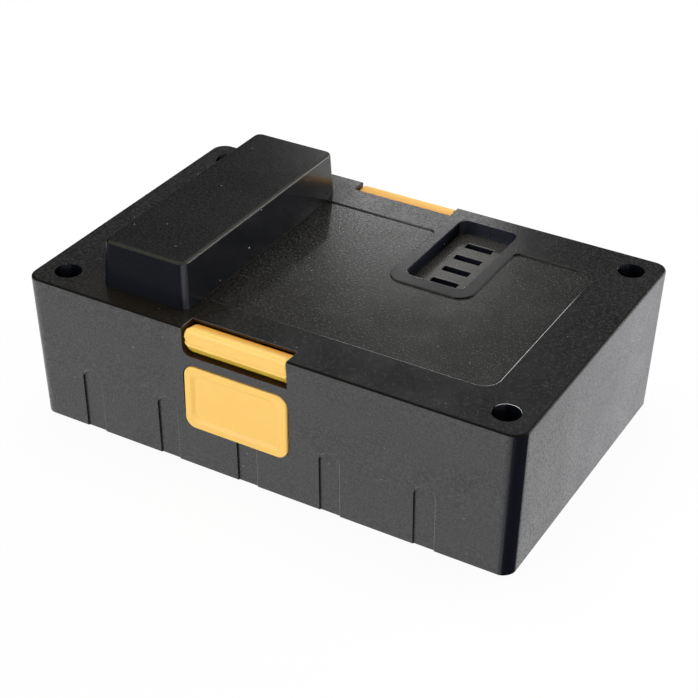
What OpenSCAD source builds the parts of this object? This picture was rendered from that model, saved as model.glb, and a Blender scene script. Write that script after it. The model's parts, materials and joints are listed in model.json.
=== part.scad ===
// Battery pack for a cordless tool, in millimetres, +Z up.
// A drafted tub and a flat cover with a docking boss hold a pack of round cells.
// Two sprung side latches are pressed in to free the pack from the tool.
// Origin: middle of the foot. +X runs along the case, the boss stands near -X.

/* [Cells] */
// Diameter of one cell in its sleeve
cell_d = 18.4; // [17.8:0.1:19]
// Length of one cell from its base to its end cap
cell_len = 65; // [64:0.1:66.5]
// Gap between neighbouring cells
cell_gap = 0.8; // [0.6:0.1:2]
// Height of the raised end cap
cap_h = 0.8; // [0.4:0.1:1.2]
// Diameter of the raised end cap
cap_d = 7; // [5:0.5:8]

/* [Cell holders] */
// Plastic between a cell and the outside of its holder
holder_skin = 0.8; // [0.6:0.1:1.4]
// Length of each cell end that its holder grips
holder_grip = 10.5; // [8:0.5:14]
// Thickness of the holder's end wall
lip_t = 1; // [0.8:0.1:1.6]
// Diameter of the window in the end wall, over each cell
lip_hole_d = 12.4; // [10:0.2:14]
// Thickness of the welded strips
strip_t = 0.25; // [0.15:0.05:0.4]
// Width of the welded strips
strip_w = 10; // [8:0.5:12]
// Thickness of the insulating papers
paper_t = 0.3; // [0.2:0.05:0.6]
// Thickness of the foam under the cover
foam_t = 3.2; // [2.5:0.1:5]

/* [Case] */
// Wall thickness of the tub
wall = 2.6; // [2.2:0.1:3.2]
// Floor thickness of the tub
floor_t = 2.6; // [2:0.1:4]
// Inward lean of each wall, from the top edge to the foot
case_draft = 1.3; // [0.6:0.1:2]
// Radius of the upright corners
case_r = 4.6; // [3.6:0.1:8]
// Room between the cell row and each end of the case
end_room = 12.8; // [11.5:0.1:20]
// Thickness of the cover plate
lid_t = 2.4; // [2:0.1:3.2]
// Height of the cover's edge above the parting line
lid_rim = 1.6; // [1.2:0.1:2]
// Radius along the cover's top edge
lid_edge_r = 0.7; // [0.4:0.1:1]
// Depth of the cover's locating tongue below its top
tongue_h = 5; // [4:0.2:7]
// Thickness of the tongue
tongue_t = 1.4; // [1:0.1:2]
// Width of the flutes in the long walls
flute_w = 6.4; // [4:0.2:9]
// Height of the flutes
flute_h = 21; // [10:0.5:24]
// Depth of the flutes
flute_depth = 0.6; // [0.3:0.1:1.2]

/* [Boss] */
// Size of the boss along the case, at its base
boss_w = 29.4; // [20:0.2:34]
// Size of the boss across the case, at its base
boss_l = 84.2; // [60:0.2:88]
// Height of the boss above the cover
boss_h = 14.5; // [8:0.5:24]
// Inward lean of each boss wall
boss_draft = 0.7; // [0.3:0.1:1.5]
// Radius of the boss's upright corners
boss_r = 2.4; // [2:0.1:5]
// Radius along the boss's top edges
boss_edge_r = 0.9; // [0.5:0.1:1.5]
// Wall thickness of the boss
boss_wall = 2.2; // [1.8:0.1:2.6]
// Distance from the case end to the boss
boss_inset = 22; // [20:0.2:26]
// Distance of the boss's middle from the middle of the case, towards the front
boss_offset = 1.7; // [0:0.1:3]

/* [Label recess] */
// Depth of the recessed field on the cover
label_depth = 0.45; // [0.2:0.05:0.8]
// Distance from the far case end to the field
label_end_inset = 16.9; // [14:0.1:24]
// Distance from the long edges to the field
label_side_inset = 16.8; // [14:0.1:24]
// Corner radius of the field
label_r = 5; // [3:0.5:8]
// Radius of the field's corners beside the contact well
label_turn_r = 2; // [1:0.5:3]
// Plain border between the field and the sides of the contact well
well_border = 3.9; // [3:0.1:6]
// Plain border between the field and the front of the contact well
well_front = 4.9; // [3:0.1:6]

/* [Contact well] */
// Size of the contact well along the case
well_l = 19.4; // [16:0.2:24]
// Size of the contact well across the case
well_w = 38.8; // [34:0.2:40]
// Depth of the contact well
well_depth = 4.6; // [4.2:0.1:6]
// Radius of the well's upright corners
well_r = 3; // [2:0.1:4]
// Wall and floor thickness of the well
well_wall = 1.8; // [1.4:0.1:2.2]
// Distance from the far case end to the middle of the well
well_end_inset = 56.4; // [52:0.2:57]
// Distance from the rear long edge to the middle of the well
well_back_inset = 25.3; // [24.5:0.1:30]
// Length of one contact slot
slot_l = 8.6; // [6:0.1:10]
// Width of one contact slot
slot_w = 2.9; // [2:0.1:3.4]
// Distance between neighbouring slots
slot_pitch = 7.86; // [7:0.02:8.2]
// Height of the raised bed that the slots cut through
bed_h = 0.4; // [0.2:0.1:0.8]
// Ledge between the bed and the well's sides
bed_ledge = 2; // [1:0.1:3]
// Ledge between the bed and the well's front and back
bed_end = 3.5; // [1:0.1:4]

/* [Latches] */
// Distance from the case end to the middle of the latches
latch_inset = 72.2; // [70:0.2:74]
// Width of the latch pad
pad_w = 34.2; // [26:0.2:36]
// Height of the latch pad
pad_h = 21; // [16:0.2:23]
// Corner radius of the latch pad
pad_r = 4; // [2:0.2:6]
// Height of the pad's middle above the foot
pad_z = 24.6; // [23:0.1:26]
// Width of the raised rim round the pad
pad_rim = 1.7; // [1:0.1:3]
// Depth of the pad's dished middle
pad_dish = 0.7; // [0.3:0.1:1]
// Width of the upper hook
hook_w = 33.6; // [26:0.2:36]
// Distance from the cover's top to the hook's underside
hook_drop = 8.3; // [7:0.1:9]
// Slot between the hook and the wall below it
hook_gap = 0.8; // [0.6:0.1:2]
// Thickness of the web behind the wall
web_t = 2; // [1.6:0.1:3]
// Overlap of the web behind the wall, round the pad
web_flange = 2.2; // [1.5:0.1:3]
// Travel of a latch when pressed
latch_travel = 2; // [1.5:0.1:3]
// Thickness of the cover where the hook slides under it
lid_lip_t = 0.8; // [0.6:0.1:1.4]
// Gap round the pad and at the hook's ends
latch_fit = 0.35; // [0.25:0.05:0.5]
// Running gap of the latch in its guides
latch_play = 0.3; // [0.2:0.05:0.5]
// Installed length of the latch springs
spring_len = 7.3; // [7:0.1:10]
// Outer diameter of the latch springs
spring_d = 5.4; // [4:0.1:7]
// Wire diameter of the latch springs
spring_wire = 0.6; // [0.4:0.05:0.7]
// Distance between the two springs of a latch
spring_pitch = 20; // [12:0.5:26]
// Thickness of the ribs and walls round a latch
rib_t = 2; // [1.5:0.1:3]

/* [Case screws] */
// Diameter of the deep screw wells in the cover
screw_well_d = 8; // [6.5:0.1:8.5]
// Depth of the screw wells
screw_well_depth = 12; // [8:0.5:16]
// Outer diameter of the screw pillars
tube_d = 11; // [10:0.1:12]
// Thread diameter of the case screws
screw_d = 3; // [2.5:0.5:3.5]
// Head diameter of the case screws
screw_head_d = 5.6; // [5:0.1:6.2]
// Head height of the case screws
screw_head_h = 2.2; // [1.6:0.1:3]
// Length of the case screws under the head
screw_len = 13; // [8:1:16]

/* [Protection board] */
// Thickness of the board
board_t = 1.6; // [1:0.2:2]
// Size of the board along the case
board_l = 47; // [44:0.5:48]
// Height of the posts that carry the board
post_h = 5; // [4:0.2:6]
// Diameter of the board posts
post_d = 6; // [5:0.2:7]
// Thread diameter of the board screws
board_screw_d = 2.5; // [2:0.1:3]
// Diameter of the main lead
lead_d = 2.4; // [1.6:0.1:2.6]
// Diameter of the sense wires
sense_d = 1.2; // [0.8:0.1:1.4]

/* [Hidden] */
$fn = 48;
hull_fn = 32;
eps = 0.01;
cut = 1;                      // how far a cutter runs past a face
contacts = 4;
lower_cells = 7;
upper_cells = 3;
flute_at = [21.4, 48.3, 75.3, 102.6, 132.4];  // flute middles, from the -X end

cell_pitch = cell_d + cell_gap;
cell_play = 0.15;             // round each cell in its holder
end_play = 0.1;               // between a cell's end and the holder's end wall
sheet_play = 0.05;            // between stacked thin sheets
thread_play = 0.05;           // round a screw in its pilot hole
screw_clear = 0.2;            // round a screw in its clearance hole
head_play = 0.2;              // under the cover, over the contact block

web_half = pad_w / 2 + web_flange;
bay_half = web_half + latch_play;
block_wall = 1.2;
block_l = slot_l + 6.4;
block_edge = 1.1;             // of the board, beside the contact block
board_gap = 0.4;              // at least, between the board and a latch bay
bar_h = 1.5;                  // at least, of the wall between a pad and its hook

// The case holds the row of cells, and along it a latch bay and the board.
row_l = lower_cells * cell_pitch + 2 * end_room;
latch_side_l = latch_inset + bay_half + rib_t + board_gap;
board_side_l = block_edge + block_l / 2 + well_end_inset;
case_l = max(row_l, latch_side_l + board_side_l);
stack_h = floor_t + 2 * holder_skin + cell_d + cell_pitch + foam_t + lid_t;
latch_h = pad_z + pad_h / 2 + latch_fit + bar_h + hook_gap + hook_drop;
case_h = max(stack_h, latch_h);
tub_h = case_h - lid_rim;
web_z0 = pad_z - pad_h / 2 - web_flange;
hook_z0 = case_h - hook_drop;
notch_z0 = hook_z0 - hook_gap;

// Inward lean of a case wall at height z.
function lean(z) = case_draft * (1 - z / case_h);

// Half width of the case, built up from the cells to the outside of the wall.
holder_y1 = cell_len / 2 + end_play + lip_t;
holder_y0 = holder_y1 - lip_t - holder_grip;
strip_y1 = holder_y1 + strip_t;
paper_y1 = strip_y1 + sheet_play + paper_t;
wiring_room = 2.3;
bay_y0 = paper_y1 + wiring_room;
bay_y1 = bay_y0 + rib_t;
web_y0 = bay_y1 + spring_len;
web_y1 = web_y0 + web_t;
case_w = 2 * (web_y1 + latch_play + wall + lean(web_z0));
pad_inset = 0.1;              // of the pad's rim, behind the widest line of the case
pad_y1 = case_w / 2 - pad_inset;
hook_y1 = case_w / 2 - 3 * pad_inset;

latch_x = -case_l / 2 + latch_inset;
boss_x = -case_l / 2 + boss_inset + boss_w / 2;
boss_right = boss_x + boss_w / 2;
well_x = case_l / 2 - well_end_inset;
well_y = case_w / 2 - well_back_inset;
well_z0 = case_h - well_depth;

tube_z0 = case_h - screw_well_depth - 2;
tube_gap = 0.5;
screw_inset = wall + lean(tube_z0) + tube_d / 2 + tube_gap;
screw_x = case_l / 2 - screw_inset;
screw_y = case_w / 2 - screw_inset;
lid_fit = 0.4;
peg_l = 1.5;                  // pegs that centre the latch springs
peg_play = 0.2;
peg_r = spring_d / 2 - spring_wire - peg_play;
hook_crest = 0.35;            // from the cover's top down to the hook's crest
nose_l = 1.2;                 // from the hook's crest out to its face
nose_fall = 2.1;              // from the hook's crest to the foot of its nose
hook_bevel = [1.6, 2.7];      // bevel under the hook, inwards and up

low_z = floor_t + holder_skin + cell_d / 2;
high_z = low_z + cell_pitch;
holder_low_top = low_z + cell_d / 2 + holder_skin;
holder_high_top = high_z + cell_d / 2 + holder_skin;
holder_x0 = -(lower_cells - 1) / 2 * cell_pitch - cell_d / 2 - holder_skin;
holder_step_x = col_x(upper_cells - 1) + cell_d / 2 + holder_skin;
function col_x(i) = (i - (lower_cells - 1) / 2) * cell_pitch;

board_z0 = holder_low_top + post_h;
board_z1 = board_z0 + board_t;
board_head_d = 4.5;
board_head_h = 1.5;
board_x0 = well_x - block_l / 2 - block_edge;
board_x1 = board_x0 + board_l;
board_y0 = -(strip_y1 + 2.2);
block_w = (contacts - 1) * slot_pitch + 10;
block_h = well_z0 - well_wall - head_play - board_z1;
board_y1 = well_y + block_w / 2 + 2.4;
post_y = holder_y0 + holder_grip / 2;
board_posts = [[board_x0 + 5, -post_y], [board_x1 - 5, -post_y],
               [board_x0 + 24, post_y], [board_x1 - 5, post_y]];
tab_x = board_x1 - 14;        // tabs of the end strips, through the board
tab_w = 8;
tab_stand = 0.8;              // of a tab above the board
lead_tab_w = 7;
sense_tab_w = 4;
weld_d = 8;
sense_x = [col_x(1.2), col_x(0.5), col_x(2.06)];  // sense tabs: front, rear, rear
header_l = 6;
header_w = 14;
header_h = 6;
header_gap = 1.1;             // between the header and a board screw
header_x = board_x0 + 5;
header_y = -(post_y - board_head_d / 2 - header_gap - header_w / 2);
way_pitch = 2.8;
function way_y(i) = header_y + (i - 1.5) * way_pitch;  // ways of the header: thermistor, then sense wires
transistor_at = [16, 16];     // places on the board, from its corner
transistor_pitch = 7.4;
shunt_at = [24, 34];
chip_at = [32, 46];
capacitors_at = [[14, 5.5], [22, 5.5]];

// Cells of one series group stand the same way up.
lower_way = [-1, 1, -1, 1, 1, -1, -1];
upper_way = [-1, 1, -1];

// Wires run from a tab's top to the board or the header, through points chosen by hand.
tab_top = holder_high_top + strip_t + sheet_play;
lead_over = tab_top + lead_d / 2;
lead_down = board_z1 + sheet_play + lead_d / 2;
lead_route = [[col_x(0), -31, lead_over], [col_x(0), -24, lead_over], [-55, -15, lead_over],
              [-46, -9, lead_over], [-30, -8, lead_over], [-14, -8, lead_over],
              [-4, -7, lead_over - 2], [3, -6, lead_down + 5], [10, -5, lead_down + 0.8],
              [19, -5, lead_down], [28, -5, lead_down]];
over = tab_top + sense_d / 2;
plug = board_z1 + header_h / 2;
plug_x = header_x - 2 * sheet_play;
sense_routes = [
    [[sense_x[0], -31, over], [sense_x[0], -28, over], [-33, -21, over], [-26, -17, over],
     [-14, -16, over], [-3, -17, over - 4], [plug_x - 15, way_y(1), plug + 5],
     [plug_x - 9, way_y(1), plug + 0.6], [plug_x - 4, way_y(1), plug], [plug_x, way_y(1), plug]],
    [[sense_x[1], 31, over], [sense_x[1], 28, over], [-47, 20, over], [-38, 10, over],
     [-22, 4, over], [-8, 0, over - 2], [plug_x - 17, -5, plug + 6],
     [plug_x - 10, -11.5, plug + 1.4], [plug_x - 4, way_y(2), plug], [plug_x, way_y(2), plug]],
    [[sense_x[2], 31, over], [sense_x[2], 28, over], [-17.6, 20, over], [-13, 11, over],
     [-6, 5, over - 4], [plug_x - 18, -1, plug + 8], [plug_x - 12, -6.4, plug + 2.6],
     [plug_x - 8, -9.5, plug + 0.6], [plug_x - 4, way_y(3), plug], [plug_x, way_y(3), plug]]];
bead_r = 1.7;                 // bead of the thermistor, in the groove between two cells
bead_wire_r = 0.7;
bead_reach = cell_d / 2 + bead_r + sheet_play;
bead_x = (col_x(3) + col_x(4)) / 2;
bead_z = low_z + sqrt(bead_reach * bead_reach - cell_pitch * cell_pitch / 4);
bead_route = [[bead_x, -1.2, bead_z], [bead_x, -6, bead_z + 0.6], [bead_x, -14, bead_z + 5],
              [bead_x, -19, bead_z + 10], [plug_x - 8, way_y(0), plug - 0.4],
              [plug_x - 5, way_y(0), plug], [plug_x, way_y(0), plug]];

black = [0.10, 0.10, 0.11];
yellow = [0.98, 0.72, 0.20];
steel = [0.70, 0.71, 0.73];
nickel = [0.76, 0.75, 0.72];
brass = [0.80, 0.62, 0.32];

// Shared shapes

module rounded_rect(l, w, r) {
    square([l - 2 * r, w], center = true);
    square([l, w - 2 * r], center = true);
    for (sx = [-1, 1], sy = [-1, 1])
        translate([sx * (l / 2 - r), sy * (w / 2 - r)]) circle(r);
}

module rounded_plate(l, w, h, r) {
    linear_extrude(h) rounded_rect(l, w, r);
}

// A disc with its top edge rounded, from z = 0 to h.
module soft_disc(r, h, f) {
    rotate_extrude($fn = hull_fn) {
        square([r - f, h]);
        square([r, h - f]);
        translate([r - f, h - f]) intersection() {
            circle(f, $fn = 16);
            square(f);
        }
    }
}

// A block with upright corners of radius r, a rounded top edge and leaning walls.
module soft_block(l, w, h, r, f, draft) {
    hull() {
        for (sx = [-1, 1], sy = [-1, 1]) {
            translate([sx * (l / 2 - r), sy * (w / 2 - r), 0])
                cylinder(r = r, h = eps, $fn = hull_fn);
            translate([sx * (l / 2 - r - draft), sy * (w / 2 - r - draft), h - 2 * f])
                soft_disc(r, 2 * f, f);
        }
    }
}

// The case's own drafted form, between two heights, moved inwards by inset.
module drafted_form(z0, z1, inset) {
    hull() for (z = [z0, z1])
        translate([0, 0, z == z0 ? z0 : z1 - eps])
            rounded_plate(case_l - 2 * (lean(z) + inset), case_w - 2 * (lean(z) + inset), eps,
                          case_r - inset, $fn = hull_fn);
}

// Copies of a child at the four case screws.
module at_screws() {
    for (sx = [-1, 1], sy = [-1, 1]) translate([sx * screw_x, sy * screw_y, 0]) children();
}

// A child moved to one contact, or copies of it at all of them.
module at_contact(i) {
    translate([well_x, well_y + (i - (contacts - 1) / 2) * slot_pitch, 0]) children();
}

module at_contacts() {
    for (i = [0:contacts - 1]) at_contact(i) children();
}

// The child and its mirror image on the rear side.
module both_sides() {
    children();
    mirror([0, 1, 0]) children();
}

// A screw with a cross recess: its seat is at z = 0 and its shank points down.
module cross_screw(d, l, head_d, head_h) {
    recess = head_d * 0.6;
    recess_w = head_d * 0.14;
    difference() {
        union() {
            cylinder(d = head_d, h = head_h);
            translate([0, 0, -l]) cylinder(d = d, h = l);
        }
        for (turn = [0, 90]) rotate(turn)
            translate([-recess / 2, -recess_w / 2, head_h / 2]) cube([recess, recess_w, head_h]);
    }
}

// Points of a smooth curve through a list of points.
function curve_at(a, b, c, d, t) =
    0.5 * (2 * b + (c - a) * t + (2 * a - 5 * b + 4 * c - d) * t * t
           + (3 * b - a - 3 * c + d) * t * t * t);
function smooth(p, steps) = concat(
    [for (i = [0:len(p) - 2], s = [0:steps - 1])
        curve_at(p[max(i - 1, 0)], p[i], p[i + 1], p[min(i + 2, len(p) - 1)], s / steps)],
    [p[len(p) - 1]]);

// Directions along a path, and normals that turn with it as little as they can.
function headings(p) = [for (i = [0:len(p) - 1])
    let(d = p[min(i + 1, len(p) - 1)] - p[max(i - 1, 0)]) d / norm(d)];
function normals(t, i, last) = i == len(t) ? [] :
    let(flat = last - (last * t[i]) * t[i], n = flat / norm(flat)) concat([n], normals(t, i + 1, n));

// A closed tube of radius r along a path.
module tube(p, r, sides, first) {
    t = headings(p);
    n = normals(t, 0, first);
    last = len(p) - 1;
    ring = [for (i = [0:last], s = [0:sides - 1])
        let(b = cross(t[i], n[i]), a = 360 * s / sides) p[i] + r * (cos(a) * n[i] + sin(a) * b)];
    side_faces = [for (i = [0:last - 1], s = [0:sides - 1])
        let(k = (s + 1) % sides, a = i * sides, b = (i + 1) * sides)
            each [[a + s, b + s, b + k], [a + s, b + k, a + k]]];
    caps = [[for (s = [0:sides - 1]) s], [for (s = [sides - 1:-1:0]) last * sides + s]];
    polyhedron(ring, concat(side_faces, caps));
}

// Case

// Guides, shelf and spring wall that hold one latch in the tub.
module latch_bay() {
    root_y = case_w / 2 - case_draft - wall / 2;
    for (s = [-1, 1]) {
        translate([latch_x + s * (bay_half + rib_t / 2) - rib_t / 2, -root_y, floor_t - eps])
            cube([rib_t, root_y - bay_y0, notch_z0 - floor_t]);
        translate([latch_x + s * spring_pitch / 2, -bay_y1 - peg_l, pad_z])
            rotate([-90, 0, 0]) cylinder(r = peg_r, h = peg_l + eps);
    }
    translate([latch_x - bay_half - rib_t / 2, -bay_y1, floor_t - eps])
        cube([2 * bay_half + rib_t, rib_t, notch_z0 - floor_t]);
    translate([latch_x - pad_w / 4, -root_y, floor_t - eps])
        cube([pad_w / 2, root_y - bay_y0, web_z0 - latch_play - floor_t]);
}

// Ribs on the floor and the end walls that keep the cell pack in its place.
module pack_stops() {
    stop_t = 2;
    stop_w = 4;
    pack_play = 0.3;
    end_x0 = -holder_x0 + pack_play;
    end_x1 = case_l / 2 - case_draft - wall / 2;
    side_y0 = paper_y1 + pack_play;
    for (turn = [0, 180], sy = [-1, 1]) rotate(turn) {
        translate([end_x0, sy * post_y - stop_t / 2, floor_t - eps])
            cube([end_x1 - end_x0, stop_t, low_z]);
        translate([col_x(lower_cells - 2) - stop_w / 2, sy * (side_y0 + stop_t / 2) - stop_t / 2,
                   floor_t - eps])
            cube([stop_w, stop_t, low_z / 2]);
    }
}

// Pillars for the case screws, tied to both walls.
module pillars() {
    at_screws() translate([0, 0, floor_t - eps]) cylinder(d = tube_d, h = tube_z0 - floor_t + eps);
    for (sx = [-1, 1], sy = [-1, 1]) {
        translate([sx * screw_x, sy * screw_y, floor_t - eps])
            linear_extrude(tube_z0 - floor_t + eps) {
                reach = screw_inset - wall / 2 - case_draft;
                translate([sx > 0 ? 0 : -reach, -rib_t / 2]) square([reach, rib_t]);
                translate([-rib_t / 2, sy > 0 ? 0 : -reach]) square([rib_t, reach]);
            }
    }
}

// Window for the pad and notch for the hook, through the front wall.
module latch_openings() {
    depth = wall + case_draft + cut;
    translate([latch_x, -case_w / 2 + depth, pad_z]) rotate([90, 0, 0])
        rounded_plate(pad_w + 2 * latch_fit, pad_h + 2 * latch_fit, depth + cut, pad_r + latch_fit);
    translate([latch_x - hook_w / 2 - latch_fit, -case_w / 2 - cut, notch_z0])
        cube([hook_w + 2 * latch_fit, depth + cut, case_h]);
}

// Shallow round-topped flutes up from the foot of the front wall.
module flutes() {
    slope = atan(case_draft / case_h);
    for (x = flute_at)
        translate([-case_l / 2 + x, -case_w / 2 + case_draft, 0]) rotate([slope, 0, 0])
            translate([0, flute_depth, 0]) rotate([90, 0, 0]) linear_extrude(flute_depth + cut) {
                translate([-flute_w / 2, -cut]) square([flute_w, flute_h - flute_w / 2 + cut]);
                translate([0, flute_h - flute_w / 2]) circle(d = flute_w);
            }
}

module lower_housing() {
    pilot_z0 = tube_z0 - screw_len;
    color(black) difference() {
        union() {
            difference() {
                drafted_form(0, tub_h, 0);
                drafted_form(floor_t, tub_h + cut, wall);
            }
            intersection() {
                drafted_form(0, tub_h, eps);
                union() {
                    pillars();
                    pack_stops();
                }
            }
            both_sides() latch_bay();
        }
        both_sides() latch_openings();
        both_sides() flutes();
        at_screws() translate([0, 0, pilot_z0]) cylinder(d = screw_d + 2 * thread_play, h = case_h);
    }
}

module label_field() {
    field_x1 = case_l / 2 - label_end_inset;
    field_l = field_x1 - boss_right + label_r;
    difference() {
        offset(r = label_turn_r) offset(delta = -label_turn_r) difference() {
            translate([field_x1 - field_l / 2, 0])
                rounded_rect(field_l, case_w - 2 * label_side_inset, label_r);
            translate([well_x, well_y])
                rounded_rect(well_l + 2 * well_border, well_w + 2 * well_front, label_r);
        }
        translate([boss_right - label_r, -case_w / 2]) square([label_r, case_w]);
    }
}

// Opening for the hook through the cover's edge, and the relief it slides into.
module cover_notch() {
    half = hook_w / 2 + latch_fit;
    translate([latch_x - half, -case_w / 2 - cut, case_h - tongue_h - cut])
        cube([2 * half, case_w / 2 - web_y0 + cut, tongue_h + 2 * cut]);
    translate([latch_x - half, -web_y0 - cut, case_h - tongue_h - cut])
        cube([2 * half, latch_travel + 2 * latch_fit + cut, tongue_h + cut - lid_lip_t]);
    translate([latch_x - bay_half - rib_t, -case_w / 2 + wall, case_h - tongue_h - cut])
        cube([2 * (bay_half + rib_t), case_w / 2 - wall - web_y0 + web_t, tongue_h + cut - lid_t]);
}

module top_cover() {
    seat = wall + lid_fit;
    bed_l = well_l - 2 * bed_ledge;
    bed_w = well_w - 2 * bed_end;
    color(black) difference() {
        union() {
            difference() {
                union() {
                    translate([0, 0, tub_h]) soft_block(case_l, case_w, lid_rim, case_r, lid_edge_r, 0);
                    translate([0, 0, case_h - lid_t])
                        rounded_plate(case_l - 2 * seat, case_w - 2 * seat, lid_t - lid_rim + eps,
                                      case_r - wall);
                    translate([0, 0, case_h - tongue_h])
                        linear_extrude(tongue_h - lid_t + eps) difference() {
                            rounded_rect(case_l - 2 * seat, case_w - 2 * seat, case_r - wall);
                            square([case_l - 2 * (seat + tongue_t), case_w - 2 * (seat + tongue_t)],
                                   center = true);
                        }
                    translate([boss_x, -boss_offset, case_h - eps])
                        soft_block(boss_w, boss_l, boss_h + eps, boss_r, boss_edge_r, boss_draft);
                    translate([well_x, well_y, well_z0 - well_wall])
                        rounded_plate(well_l + 2 * well_wall, well_w + 2 * well_wall,
                                      well_depth + well_wall - lid_t + eps, well_r + well_wall);
                    at_screws() translate([0, 0, tube_z0])
                        cylinder(d = tube_d, h = case_h - lid_t - tube_z0 + eps);
                }
                translate([boss_x, -boss_offset, case_h - lid_t - cut])
                    soft_block(boss_w - 2 * boss_wall, boss_l - 2 * boss_wall,
                               boss_h + lid_t + cut - boss_wall, boss_r, boss_edge_r, boss_draft);
                translate([0, 0, case_h - label_depth]) linear_extrude(label_depth + cut) label_field();
                translate([well_x, well_y, well_z0]) rounded_plate(well_l, well_w, well_depth + cut, well_r);
            }
            translate([well_x, well_y, well_z0 - eps])
                rounded_plate(bed_l, bed_w, bed_h + eps, well_r / 2);
        }
        at_contacts() translate([-slot_l / 2, -slot_w / 2, well_z0 - well_wall - cut])
            cube([slot_l, slot_w, well_wall + bed_h + 2 * cut]);
        at_screws() {
            translate([0, 0, case_h - screw_well_depth])
                cylinder(d = screw_well_d, h = screw_well_depth + cut);
            translate([0, 0, tube_z0 - cut])
                cylinder(d = screw_d + 2 * screw_clear, h = screw_well_depth);
        }
        both_sides() cover_notch();
    }
}

module case_screws() {
    color(steel) at_screws() translate([0, 0, case_h - screw_well_depth])
        cross_screw(screw_d, screw_len, screw_head_d, screw_head_h);
}

// Latches

// Hook profile, x inwards from the widest line of the case, y up. Its top slopes
// down inwards, so that it clears the cover's lip when it is pressed.
function hook_outline() =
    let(face = case_w / 2 - hook_y1, back = case_w / 2 - web_y0, crest = case_h - hook_crest,
        lip_z = case_h - lid_lip_t - latch_play,
        slope = (crest - lip_z) / (back - latch_travel - face - nose_l))
    concat([for (a = [0:15:90]) [face + nose_l * (1 - sin(a)), crest - nose_fall * (1 - cos(a))]],
           [[face, hook_z0 + hook_bevel[1]], [face + hook_bevel[0], hook_z0], [back, hook_z0],
            [back, lip_z - slope * latch_travel]]);

module latch() {
    color(yellow) union() {
        difference() {
            translate([latch_x, -web_y1 + eps, pad_z]) rotate([90, 0, 0])
                rounded_plate(pad_w, pad_h, pad_y1 - web_y1 + eps, pad_r);
            translate([latch_x, -pad_y1 + pad_dish, pad_z]) rotate([90, 0, 0]) hull() {
                rounded_plate(pad_w - 4 * pad_rim, pad_h - 4 * pad_rim, eps, pad_r / 2, $fn = hull_fn);
                translate([0, 0, pad_dish])
                    rounded_plate(pad_w - 2 * pad_rim, pad_h - 2 * pad_rim, eps, pad_r - pad_rim / 2,
                                  $fn = hull_fn);
            }
        }
        translate([latch_x - web_half, -web_y1, web_z0])
            cube([2 * web_half, web_t, pad_z + pad_h / 2 + web_flange - web_z0]);
        translate([latch_x - hook_w / 2, -web_y1, pad_z])
            cube([hook_w, web_t, hook_z0 - pad_z + eps]);
        translate([latch_x - hook_w / 2, -case_w / 2, 0]) rotate([90, 0, 90])
            linear_extrude(hook_w) polygon(hook_outline());
        for (s = [-1, 1])
            translate([latch_x + s * spring_pitch / 2, -web_y0 - eps, pad_z])
                rotate([-90, 0, 0]) cylinder(r = peg_r, h = peg_l + eps);
    }
}

module front_latch() latch();

module rear_latch() mirror([0, 1, 0]) latch();

// Two coil springs between a latch and the wall of its bay.
module latch_springs() {
    turns = 5;
    coil_r = (spring_d - spring_wire) / 2;
    rise = spring_len - spring_wire - 2 * sheet_play;
    steps = 8 * turns;
    color(steel) for (s = [-1, 1]) {
        path = [for (i = [0:steps]) let(a = 360 * turns * i / steps)
            [latch_x + s * spring_pitch / 2 + coil_r * cos(a),
             -web_y0 + spring_wire / 2 + sheet_play + rise * i / steps,
             pad_z + coil_r * sin(a)]];
        tube(path, spring_wire / 2, 6, [1, 0, 0]);
    }
}

module front_latch_springs() latch_springs();

module rear_latch_springs() mirror([0, 1, 0]) latch_springs();

// Cell pack

// One cell along -Y to +Y with its cap at +Y, turned round where up is -1.
module cell(x, z, up) {
    r = cell_d / 2;
    body = cell_len - cap_h;
    edge = 0.6;
    groove = 0.5;
    groove_z = body - 4;
    groove_w = 1.8;
    cap_draft = 0.3;
    color([0.20, 0.42, 0.62]) translate([x, 0, z]) rotate([up > 0 ? -90 : 90, 0, 0])
        translate([0, 0, -cell_len / 2]) rotate_extrude()
            polygon([[0, 0], [r - edge, 0], [r, edge], [r, groove_z],
                     [r - groove, groove_z + groove], [r - groove, groove_z + groove_w - groove],
                     [r, groove_z + groove_w], [r, body - edge], [r - edge, body], [cap_d / 2, body],
                     [cap_d / 2 - cap_draft, cell_len], [0, cell_len]]);
}

module lower_cell(i) cell(col_x(i), low_z, lower_way[i]);

module upper_cell(i) cell(col_x(i), high_z, upper_way[i]);

// Stepped outline of the pack seen from its end, grown by more.
module pack_outline(more) {
    low_h = holder_low_top - floor_t;
    high_h = holder_high_top - floor_t;
    translate([holder_x0 - more, floor_t - more]) square([-2 * holder_x0 + 2 * more, low_h + 2 * more]);
    translate([holder_x0 - more, floor_t - more])
        square([holder_step_x - holder_x0 + 2 * more, high_h + 2 * more]);
}

module at_cells() {
    for (i = [0:lower_cells - 1]) translate([col_x(i), low_z]) children();
    for (i = [0:upper_cells - 1]) translate([col_x(i), high_z]) children();
}

module cell_holder(posts) {
    grip_d = cell_d + 2 * cell_play;
    color([0.16, 0.17, 0.18]) difference() {
        union() {
            translate([0, -holder_y0, 0]) rotate([90, 0, 0])
                linear_extrude(holder_y1 - holder_y0) pack_outline(0);
            for (p = posts)
                translate([p[0], p[1], holder_low_top - eps]) cylinder(d = post_d, h = post_h + eps);
        }
        translate([0, -holder_y0 + cut, 0]) rotate([90, 0, 0])
            linear_extrude(holder_grip + cut) at_cells() circle(d = grip_d);
        translate([0, -holder_y0, 0]) rotate([90, 0, 0])
            linear_extrude(holder_y1 - holder_y0 + cut) at_cells() circle(d = lip_hole_d);
        for (p = posts) translate([p[0], p[1], board_z0 - post_h])
            cylinder(d = board_screw_d + 2 * thread_play, h = post_h + cut);
    }
}

module front_cell_holder() cell_holder([board_posts[0], board_posts[1]]);

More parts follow.
